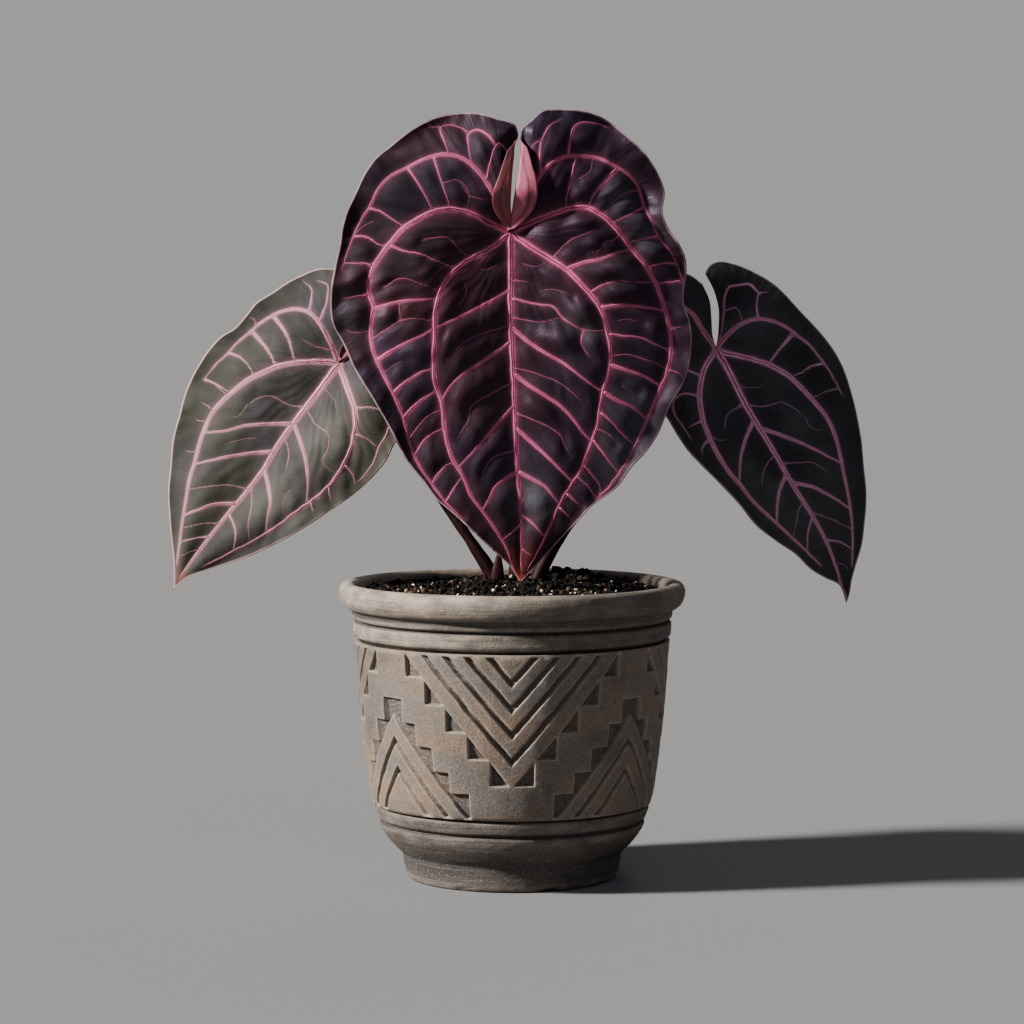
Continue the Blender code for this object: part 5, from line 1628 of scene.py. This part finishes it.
    def build(self) -> tuple[Array, Array, dict[str, Array]]:
        """Wraps the carved band round the pot as a closed skin.

        Returns:
            Points, triangles, and the values worn, carved, tooled, turned and smoky.
        """
        plan, faces = self.plan()
        turns = np.arange(self.repeats)
        phase = (plan[None, :, 0] / self.arc + 360.0 / self.repeats * turns[:, None]).ravel()
        height = np.tile(plan[:, 1], self.repeats)
        deep = np.tile(self.inside(plan), self.repeats)
        faces = (faces[None] + len(plan) * turns[:, None, None]).reshape(-1, 3)
        angle = np.radians(phase + self.drift * np.sin(np.radians(phase)))
        radius = np.interp(height, *zip(*self.barrel))
        place = turned(radius, angle, height)
        rim = np.minimum(height - self.low, self.high - height)
        loose = smooth_step(0.0, 3.0, rim)
        # The carver's hand: edges wander by a sixth of a millimetre, faces are never quite flat.
        angle += loose * (0.16 * noise(place, 15.0, 31) + 0.05 * noise(place, 4.0, 37)) / radius
        height += loose * (0.15 * noise(place, 13.0, 32) + 0.05 * noise(place, 4.0, 38))
        cut = 0.12 * smooth_step(-0.24, 0.0, deep) + 0.88 * smooth_step(-0.05, 0.45, deep)
        uneven = 0.13 * noise(place, 11.0, 33) + 0.05 * noise(place, 3.2, 34)
        gouge = 0.22 * noise(place * (1.0, 1.0, 2.0), 4.0, 35) * smooth_step(0.3, 1.0, deep)
        radius = radius + (uneven + gouge) * loose - cut * (self.depth + 0.25 * noise(place, 20.0, 36))
        points = turned(radius, angle, height)
        kept, faces = weld(points, faces, 2)
        points, count = points[kept], len(kept)
        edges = open_edges(faces)
        inner = points.copy()
        inner[:, :2] *= (1 - self.skin / np.linalg.norm(points[:, :2], axis=1))[:, None]
        below, above = [self.ring(points, edges, level) + count for level in (self.low, self.high)]
        lining = np.stack([below, np.roll(below, -1), np.roll(above, -1), above], axis=1)[:, ::-1]
        faces = np.concatenate([faces, skirt(edges, count), split_quads(lining)])
        # Paler just outside the carved edges and along the band's top and bottom: wear and painted highlight.
        lip = 0.75 * np.exp(-(((deep + 0.20) / 0.35) ** 2)) + 0.4 * np.exp(-(((rim - 0.4) / 0.8) ** 2))
        worn = np.tile(np.clip(lip[kept], 0, 1), 2)
        # Inside the carved areas the clay gets painted shade.
        carved = np.tile(smooth_step(-0.1, 0.9, deep)[kept], 2)
        plain = np.zeros(2 * count)
        marks = {"worn": worn, "carved": carved, "tooled": carved, "turned": plain, "smoky": plain}
        return np.concatenate([points, inner]), faces, marks

    @staticmethod
    def ring(points: Array, edges: Array, level: float) -> Array:
        """Lists the points of the open rim at one height, once round by their angle."""
        rim = np.unique(edges[np.abs(points[edges[:, 0], 2] - level) < 0.05])
        return rim[np.argsort(np.arctan2(points[rim, 0], -points[rim, 1]))]


@dataclass(frozen=True)
class Pot:
    """The fired-clay pot: a turned body with foot, bands, collar and rolled rim, and its carved skin."""

    finish: ClayFinish = ClayFinish()
    frieze: Frieze = Frieze()
    columns: int = 250
    rings: int = 340
    profile: tuple = (
        (47.6, 0.0), (48.6, 0.7), (49.3, 3.0), (50.3, 8.5), (50.7, 11.2), (51.0, 12.0), (52.4, 13.2),
        (54.6, 15.2), (57.0, 17.8), (58.9, 20.2), (60.3, 22.6), (61.2, 24.8), (61.6, 25.7), (61.2, 26.2),
        (59.6, 26.7), (59.7, 27.3), (61.6, 27.8), (62.2, 28.6), (62.9, 30.8), (63.5, 32.6), (63.5, 33.4),
        (62.8, 33.8), (61.6, 34.1), (61.0, 34.6), (60.8, 35.6), (63.5, 50.0), (66.5, 80.0), (68.5, 108.5),
        (69.2, 110.0), (70.6, 110.7), (70.6, 111.6), (72.8, 112.2), (73.4, 113.2), (73.6, 116.0),
        (73.7, 118.4), (73.4, 119.0), (71.3, 119.4), (71.3, 120.0), (73.4, 120.4), (73.9, 121.2),
        (74.5, 123.4), (74.2, 124.0), (74.6, 124.5), (76.6, 125.4), (78.6, 127.0), (79.7, 129.2),
        (80.2, 131.5), (80.2, 133.2), (79.7, 134.9), (78.7, 136.1), (77.2, 136.8), (75.6, 137.0),
        (74.0, 136.7), (72.8, 135.9), (72.0, 134.6), (71.5, 132.5), (71.2, 131.0), (69.4, 124.0),
        (66.5, 112.0), (62.0, 62.0), (54.0, 24.0), (42.0, 9.0), (20.0, 9.0),
    )  # from the foot up the outside, over the rim and down the inside, as (radius, height)

    def body(self) -> tuple[Array, Array, dict[str, Array]]:
        """Turns the profile, then adds the thrower's marks, dents, and chips along the foot.

        Returns:
            Points, triangles, and the values worn, carved, tooled, turned and smoky.
        """
        sharp = np.array(self.profile)
        a, b = sharp[:-1], sharp[1:]
        eased = np.stack([0.78 * a + 0.22 * b, 0.22 * a + 0.78 * b], axis=1).reshape(-1, 2)
        line = resample(np.concatenate([sharp[:1], eased, sharp[-1:]]), self.rings)
        radius, height = np.repeat(line[:, 0], self.columns), np.repeat(line[:, 1], self.columns)
        around = np.tile(circle(self.columns), self.rings)
        place = turned(radius, around, height)
        rings = 0.09 * noise(np.stack([height, 2 * np.sin(around), 2 * np.cos(around)], axis=1), 2.6, 41)
        dents = 0.14 * noise(place, 26.0, 42) + 0.06 * noise(place, 6.0, 43) + 0.04 * noise(place, 2.5, 44)
        free = smooth_step(0.0, 1.5, height) * smooth_step(138.5, 134.0, height) * 0.6 + 0.4
        foot = np.exp(-((height / 1.6) ** 2)) * smooth_step(0.35, 0.9, noise(place, 11.0, 45))
        moved = radius + (rings + dents) * free - 1.3 * foot
        points = turned(moved, around, height + 0.25 * foot * (height < 3))
        ends = np.array([(0.0, 0.0, line[0, 1]), (0.0, 0.0, line[-1, 1])])
        # The profile's bend shows where edges stick out, which are paler from wear and painted highlight, and
        # where hollows are darkened with painted shade.
        bend = np.gradient(np.arctan2(*np.gradient(line, axis=0)[:, ::-1].T))
        bend = np.convolve(np.unwrap(bend), np.ones(5) / 5, mode="same")
        convex = np.repeat(np.clip(bend / 0.10, 0, 1), self.columns)
        hollow = np.repeat(np.clip(-bend / 0.10, 0, 1), self.columns)
        lower = smooth_step(34.6, 33.4, height)
        # side rises towards +X, the side away from the key light, and steers the painted shade.
        side = smooth_step(-45.0, 45.0, place[:, 0])
        # Edges that stick out are paler from wear and painted highlight, and a painted highlight runs round
        # the rim's top near 137 mm; both lessen low down.
        rubbed_and_lit = (0.75 - 0.4 * lower) * convex + 0.5 * np.exp(-(((height - 137.0) / 3.0) ** 2))
        # The upper inside wall is darkened with painted shade.
        inside = np.where((radius < 71.0) & (height > 112), 0.35, 0.0)
        # Painted shade, with some soot: darker below the bottom band, on the collar under the rim's overhang,
        # and on the rim and collar towards +X.
        collar = smooth_step(124.5, 122.5, height) * (height > 60)
        smoky = 0.95 * lower + (0.55 + 0.4 * side) * collar
        smoky += 0.8 * side * smooth_step(123.0, 126.0, height)
        marks = {
            # On the rim the paleness fades towards +X, where painted shade falls.
            "worn": np.clip(rubbed_and_lit * (1 - 0.7 * side * (height > 110)), 0, 1),
            "carved": np.clip(hollow + inside + 0.5 * foot, 0, 1),
            "tooled": np.zeros(len(height)),
            "turned": np.ones(len(height)),
            "smoky": smoky,
        }
        marks = {name: np.append(values, [0.0, 0.0]) for name, values in marks.items()}
        return np.concatenate([points, ends]), capped(self.rings, self.columns), marks

    def build(self) -> list[Piece]:
        """Makes the body and its carved skin.

        Returns:
            Both pieces.
        """
        clay, pieces = self.finish.build(), []
        for name, (points, faces, marks) in (("pot_body", self.body()), ("pot_frieze", self.frieze.build())):
            piece = make_mesh(name, points, [faces], [clay])
            paint(piece, **marks)
            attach(piece, "root")
            pieces.append(piece)
        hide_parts("pot")
        return pieces


# Potting mix and stalks


@dataclass(frozen=True)
class PottingMix:
    """Dark gritty mix: a lumpy bed, crumbs of bark and peat, and pale pumice grains."""

    # The bed and crumbs are near black: a dark mix, made darker still as painted shade from the rim.
    bed: GrainFinish = GrainFinish("mix_bed", "020201", "050403", 1.0)
    crumb: GrainFinish = GrainFinish("mix_crumbs", "060404", "5a4636", 0.85, 9.0)
    pumice: GrainFinish = GrainFinish("mix_pumice", "7a5a48", "efe4d8", 0.9)
    radius: float = 71.0
    rings: int = 70
    columns: int = 180
    crumbs: int = 5200
    grains: int = 190
    wall: tuple = ((41.7, 9.3), (53.7, 24.0), (61.7, 62.0), (66.2, 112.0), (70.9, 129.0))  # (radius, height)

    @staticmethod
    def height(x: Array, y: Array) -> Array:
        """Finds the top of the mix: level at the wall, heaped at the stalks and at the back right.

        Args:
            x: Places across.
            y: Places from front to back.

        Returns:
            Heights in millimetres.
        """
        heap = 5.6 * np.exp(-(x**2 + y**2) / 36.0**2)
        clods = 0.7 * np.sin(0.23 * x + 1.3) * np.cos(0.19 * y - 0.4) + 0.5 * np.sin(0.41 * x - 0.37 * y)
        return 131.6 + heap + clods + 2.6 * np.exp(-((x - 24.0) ** 2 + (y - 40.0) ** 2) / 18.0**2)

    @staticmethod
    def pebble() -> tuple[Array, Array]:
        """Makes an octahedron with each side cut in four and pushed out to a ball.

        Returns:
            18 points and 32 triangles.
        """
        axis = np.array([(1, 0, 0), (-1, 0, 0), (0, 1, 0), (0, -1, 0), (0, 0, 1), (0, 0, -1)], float)
        sides = [(0, 2, 4), (2, 1, 4), (1, 3, 4), (3, 0, 4), (2, 0, 5), (1, 2, 5), (3, 1, 5), (0, 3, 5)]
        points, faces, middles = list(axis), [], {}
        for side in sides:
            mid = []
            for a, b in zip(side, side[1:] + side[:1]):
                key = frozenset((a, b))
                if key not in middles:
                    middles[key] = len(points)
                    points.append((axis[a] + axis[b]) / math.sqrt(2))
                mid.append(middles[key])
            a, b, c = side
            faces += [(a, mid[0], mid[2]), (mid[0], b, mid[1]), (mid[2], mid[1], c), tuple(mid)]
        return np.array(points), np.array(faces)

    def scatter(
        self, name: str, count: int, sizes: tuple[float, float], lift: float, finish: GrainFinish, seed: int
    ) -> Piece:
        """Strews uneven pebbles over the bed.

        Args:
            name: The object's name.
            count: How many pebbles there are.
            sizes: Their smallest and largest radius; small ones are commoner.
            lift: How far they lie above the bed.
            finish: Their finish.
            seed: Chooses them.

        Returns:
            The pebbles, with the attribute tone.
        """
        rng = np.random.default_rng(seed)
        ball, sides = self.pebble()
        away = (self.radius - sizes[1]) * np.sqrt(rng.uniform(0, 1, count))
        angle = rng.uniform(0, 2 * math.pi, count)
        x, y = away * np.sin(angle), -away * np.cos(angle)
        size = sizes[0] + (sizes[1] - sizes[0]) * rng.uniform(0, 1, count) ** 2.6
        heap = np.exp(-((x - 26.0) ** 2 + (y - 40.0) ** 2) / 20.0**2)
        size *= 1 + 1.1 * heap * (lift == 0)
        middle = np.stack([x, y, self.height(x, y) + lift + size * rng.uniform(0.0, 1.1, count)], axis=1)
        turn = np.linalg.qr(rng.normal(size=(count, 3, 3)))[0]
        turn *= np.sign(np.linalg.det(turn))[:, None, None]
        stretch = rng.uniform(0.6, 1.25, (count, 1, 3))
        bumps = 1 + rng.uniform(-0.2, 0.2, (count, len(ball), 1))
        points = middle[:, None] + (ball[None] * bumps * stretch) @ turn * size[:, None, None]
        faces = (sides[None] + len(ball) * np.arange(count)[:, None, None]).reshape(-1, 3)
        made = make_mesh(name, points.reshape(-1, 3), [faces], [finish.build()])
        paint(made, tone=np.repeat(rng.uniform(0, 1, count) ** finish.rarity, len(ball)))
        return made

    def build(self) -> list[Piece]:
        """Makes the bed and strews the crumbs and grains.

        Returns:
            The three pieces.
        """
        angle = circle(self.columns)
        radius = np.repeat(np.linspace(self.radius, 1.0, self.rings), self.columns)
        top = turned(radius, np.tile(angle, self.rings), 0.0 * radius)
        top[:, 2] = self.height(top[:, 0], top[:, 1])
        top[:, 2] += 0.7 * noise(top, 5.0, 51) + 0.4 * noise(top, 2.5, 52)
        radius, level = np.repeat(np.array(self.wall), self.columns, axis=0).T
        below = turned(radius, np.tile(angle, len(self.wall)), level)
        ends = np.array([(0.0, 0.0, level[0]), (0.0, 0.0, float(self.height(0.0, 0.0)))])
        points = np.concatenate([below, top, ends])
        faces = capped(len(self.wall) + self.rings, self.columns)
        bed = make_mesh("mix_bed", points, [faces], [self.bed.build()])
        paint(bed, tone=0.5 + 0.4 * noise(points, 6.0, 53))
        pieces = [
            bed,
            self.scatter("mix_crumbs", self.crumbs, (0.55, 1.6), 0.0, self.crumb, 61),
            self.scatter("mix_pumice", self.grains, (0.45, 1.0), 1.1, self.pumice, 62),
        ]
        for piece in pieces:
            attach(piece, "root")
        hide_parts("potting_mix")
        return pieces


@dataclass(frozen=True)
class Stalk:
    """One leaf stalk, from the mix to the back of its blade, with a swollen knee below the blade."""

    form: LeafForm
    route: Points
    finish: StalkFinish = StalkFinish("stalk_skin", "130507", "22090e")
    standoff: float = 2.0
    radii: tuple = (
        (0.0, 3.8), (0.1, 3.6), (0.26, 2.5), (0.5, 1.95), (0.84, 1.85), (0.9, 2.25), (0.97, 2.25), (1.0, 1.9)
    )  # (share of the way up, radius)

    def build(self) -> list[Piece]:
        """Makes the stalk.

        Returns:
            The stalk alone.
        """
        _, normal = self.form.surface(np.array([(0.0, -1.0)]))
        joint, back = np.array(self.form.joint), -normal[0]
        end, knee = joint + self.standoff * back, joint + 7.0 * back + (0.0, 0.0, -2.5)
        path = smooth_path([*self.route, tuple(knee), tuple(end)], 150)
        share = np.linspace(0, 1, len(path))
        radius = np.interp(share, *zip(*self.radii)) * (1 + 0.02 * noise(path, 9.0, 71))
        points, faces, along = tube(path, radius, 24, flutes=0.025)
        stalk = make_mesh(f"stalk_{self.form.name}", points, [faces], [self.finish.build()])
        paint(stalk, joint=smooth_step(0.90, 1.0, along))
        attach(stalk, "root")
        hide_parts(f"petiole_{self.form.name}")
        return [stalk]


@dataclass(frozen=True)
class Crown:
    """The short stem at the soil line with its pointed sheath leaves."""

    finish: StalkFinish = StalkFinish("crown_skin", "100406", "20080d")
    stub: tuple = ((-1.0, -4.0, 121.5), (-1.0, -4.0, 130.0), (-1.2, -3.9, 134.5), (-1.3, -3.8, 137.5))
    sheaths: tuple = (
        (4.6, ((-6.6, -5.6, 126.0), (-6.7, -5.9, 136.0), (-6.4, -5.4, 143.5), (-5.9, -4.4, 150.8))),
        (2.6, ((3.0, -6.4, 127.0), (3.6, -7.0, 135.5), (4.4, -7.0, 140.5), (4.2, -6.6, 144.8))),
        (2.4, ((-10.0, -6.0, 127.0), (-11.2, -6.6, 134.5), (-12.0, -6.6, 138.5), (-12.6, -6.2, 142.0))),
    )  # for each, the radius at its foot and its middle line

    def build(self) -> list[Piece]:
        """Makes the stub and its sheaths as one piece.

        Returns:
            The crown alone.
        """
        points, faces, marks, first = [], [], [], 0
        routes = [(5.0, self.stub, 0.95, 0.3), *[(*sheath, 0.5, 0.04) for sheath in self.sheaths]]
        for radius, route, flat, end in routes:
            path = smooth_path(route, 40)
            taper = radius * np.sqrt(np.linspace(1.0, end**2, 40))
            made, sides, along = tube(path, taper * (1 + 0.05 * noise(path, 5.0, 81)), 20, flat, 0.04)
            points.append(made)
            faces.append(sides + first)
            marks.append(0.06 * along)
            first += len(made)
        points, faces, joint = [np.concatenate(part) for part in (points, faces, marks)]
        crown = make_mesh("crown_sheaths", points, [faces], [self.finish.build()])
        paint(crown, joint=joint)
        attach(crown, "root")
        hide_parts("crown")
        return [crown]


# Studio


@dataclass(frozen=True)
class Sun:
    """One soft distant light: where it shines from, how strong and how wide it is."""

    name: str
    azimuth: float  # degrees from the front, positive to the right
    height: float  # degrees over the floor
    strength: float
    width: float  # degrees
    color: str

    def build(self) -> None:
        """Hangs the light."""
        light = bpy.data.lights.new(self.name, "SUN")
        light.energy, light.angle = self.strength, math.radians(self.width)
        light.color = linear(self.color)[:3]
        lamp = bpy.data.objects.new(self.name, light)
        lamp.rotation_euler = (math.radians(90.0 - self.height), 0.0, math.radians(self.azimuth))
        lamp.location = (0.0, 0.0, 2.0)
        bpy.context.scene.collection.objects.link(lamp)


@dataclass(frozen=True)
class Studio:
    """A plain pale floor, hard light from the left with a little fill, and the photograph's camera."""

    lens: float = 122.03
    place: tuple[float, float, float] = (0.0, -1.6, 0.2764)
    pitch: float = 86.163
    floor_radius: float = 60.0  # metres
    floor_color: str = "747576"
    sky_color: str = "f4f3f2"
    sky_light: float = 0.14
    sky_seen: float = 0.424
    suns: tuple[Sun, ...] = (
        Sun("key", -75.0, 30.0, 12.5, 7.0, "fffaf4"),
        Sun("fill", 25.0, 40.0, 0.35, 50.0, "e4eaff"),
        Sun("back", 165.0, 48.0, 0.3, 20.0, "ffffff"),
    )

    def floor(self) -> None:
        """Makes the floor: one flat disc, as bright as the sky where they meet."""
        g = Graph("pale_floor")
        material = g.close(Base_Color=linear(self.floor_color), Roughness=0.95, Specular_IOR_Level=0.0)
        ring = turned(1000 * self.floor_radius, circle(96), np.zeros(96))
        points = np.concatenate([ring, np.zeros((1, 3))]) - (0.0, 0.0, 0.2)
        make_mesh("floor", points, [fan(96, np.arange(96))], [material])

    def sky(self) -> None:
        """Makes the sky: as bright as the floor to look at, but a weaker light, as dark walls would give."""
        world = bpy.data.worlds.new("pale_room")
        world.use_nodes = True
        sky = world.node_tree.nodes["Background"]
        sky.inputs["Color"].default_value = linear(self.sky_color)
        seen = world.node_tree.nodes.new("ShaderNodeLightPath")
        level = world.node_tree.nodes.new("ShaderNodeMapRange")
        level.inputs["To Min"].default_value = self.sky_light
        level.inputs["To Max"].default_value = self.sky_seen
        world.node_tree.links.new(seen.outputs["Is Camera Ray"], level.inputs["Value"])
        world.node_tree.links.new(level.outputs[0], sky.inputs["Strength"])
        bpy.context.scene.world = world

    def camera(self) -> None:
        """Sets up the camera."""
        camera = bpy.data.cameras.new("camera")
        camera.lens, camera.sensor_width = self.lens, 36.0
        camera.clip_start, camera.clip_end = 0.05, 200.0
        holder = bpy.data.objects.new("camera", camera)
        holder.location = self.place
        holder.rotation_euler = (math.radians(self.pitch), 0.0, 0.0)
        bpy.context.scene.collection.objects.link(holder)
        bpy.context.scene.camera = holder

    def build(self) -> None:
        """Makes the floor, the lights, the sky and the camera."""
        self.floor()
        for sun in self.suns:
            sun.build()
        self.sky()
        self.camera()


def leaves() -> list[Leaf]:
    """Makes the three leaves with their finishes.

    Returns:
        The leaves, the largest first.
    """
    rolled = (
        RolledMargin(
            pairs(
                0, 0, 2.7, 2.6, 7.3, 6, 11.9, 7.9, 14.5, 8.3, 18, 7.8, 25.6, 5.5, 34.7, 3.4, 40, 1.6, 45, 0
            ),
            # This strip takes the darker flap colour as painted shade.
            lit_share=0.5,
        ),
        RolledMargin(
            pairs(
                0, 0, 2.7, 3.6, 7.3, 7.7, 11.9, 9.8, 16.5, 10.2, 21, 9.4, 25.6, 8, 30, 6, 34.7, 4.1, 39.3,
                2.2, 43.5, 0.6, 46.5, 0,
            )
        ),
    )
    # The small strips take the darker flap colour as painted shade.
    small = RolledMargin(pairs(0, 0, 3, 2, 8, 3, 14, 2.4, 20, 1, 24, 0), 0.8, lit_share=0.5)
    centre_top = BladeFinish(
        "blade_centre_top", dark="13080f", light="21111a", cool="1f1b28", halo="683246", glow="984a68",
        rim="a4828a", tip="9a3420", rim_strength=0.75, specular=0.29,
    )
    left_top = BladeFinish(
        "blade_left_top", dark="262624", light="3c3c36", cool="3b3942", halo="74545c", glow="b0808f",
        rim="c8a0a0", tip="8a4a3a", tip_dark="6a4a3e", warm="3a3b30", pale="5c5d55", deep="22241e",
        mottle=0.5, wrinkle=0.12, halo_strength=0.75, fray=0.1, rim_strength=0.7, roughness=0.58,
        specular=0.12,
    )
    right_top = BladeFinish(
        "blade_right_top", dark="151715", light="292d28", cool="25282d", halo="563444", glow="a6728c",
        rim="b89a98", tip="4a2420", tip_dark="1c1214", warm="222718", pale="424543", mottle=0.5, wrinkle=0.45,
        fray=0.14, rim_strength=0.6, roughness=0.48,
    )
    return [
        Leaf(
            CENTRE_FORM,
            centre_top,
            UnderFinish("blade_centre_under", "68414a", "4e2f38"),
            VeinFinish("veins_centre_skin", "ca6c8e", "ae5276", "5e1230", "984a66", "5e2c40"),
            rows=232, columns=74, shoulder=0.42, flaps=rolled,
        ),
        Leaf(
            LEFT_FORM,
            left_top,
            UnderFinish("blade_left_under", "7a4a50", "5a343c"),
            VeinFinish("veins_left_skin", "dc9fb0", "c27f93", "7a2440", "9a6874", "6a4c50"),
            rows=150, columns=46, shoulder=0.33, flaps=(small, small),
        ),
        Leaf(
            RIGHT_FORM,
            right_top,
            UnderFinish("blade_right_under", "5a333c", "3c222c"),
            VeinFinish("veins_right_skin", "dca2be", "c286a4", "8a1e44", "8a5a76", "704c64"),
            rows=150, columns=46, shoulder=0.34,
        ),
    ]


def stalks() -> list[Stalk]:
    """Makes the three stalks, each with the form of the blade that it carries.

    Returns:
        The stalks, in the order of the leaves.
    """
    centre = [(1.4, 7.0, 122.0), (2.0, 7.5, 138.0), (3.0, 13.0, 180.0), (2.5, 16.0, 225.0), (1.0, 8.0, 268.0)]
    left = [
        (-7.2, 5.0, 122.0), (-9.4, 6.5, 139.0), (-17.2, 8.5, 152.0), (-27.0, 12.0, 166.0),
        (-48.0, 21.0, 195.0), (-67.0, 26.5, 221.0),
    ]
    right = [
        (9.8, 5.0, 122.0), (12.6, 6.5, 139.0), (20.0, 9.0, 153.0), (30.0, 13.0, 167.0), (55.0, 24.0, 197.0),
        (80.0, 31.0, 226.0),
    ]
    return [Stalk(CENTRE_FORM, centre), Stalk(LEFT_FORM, left), Stalk(RIGHT_FORM, right)]


def main() -> None:
    """Builds every piece round the frame and logs the frame's nodes and each piece's face count."""
    logging.basicConfig(level=logging.INFO, format="%(message)s")
    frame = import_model()
    LOG.info("frame: %s", ", ".join(sorted(frame["nodes"])))
    Studio().build()
    for part in (Pot(), PottingMix(), Crown(), *stalks(), *leaves()):
        for piece in part.build():
            LOG.info("%s: %d faces", piece.name, len(piece.data.polygons))
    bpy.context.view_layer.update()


if __name__ == "__main__":
    main()
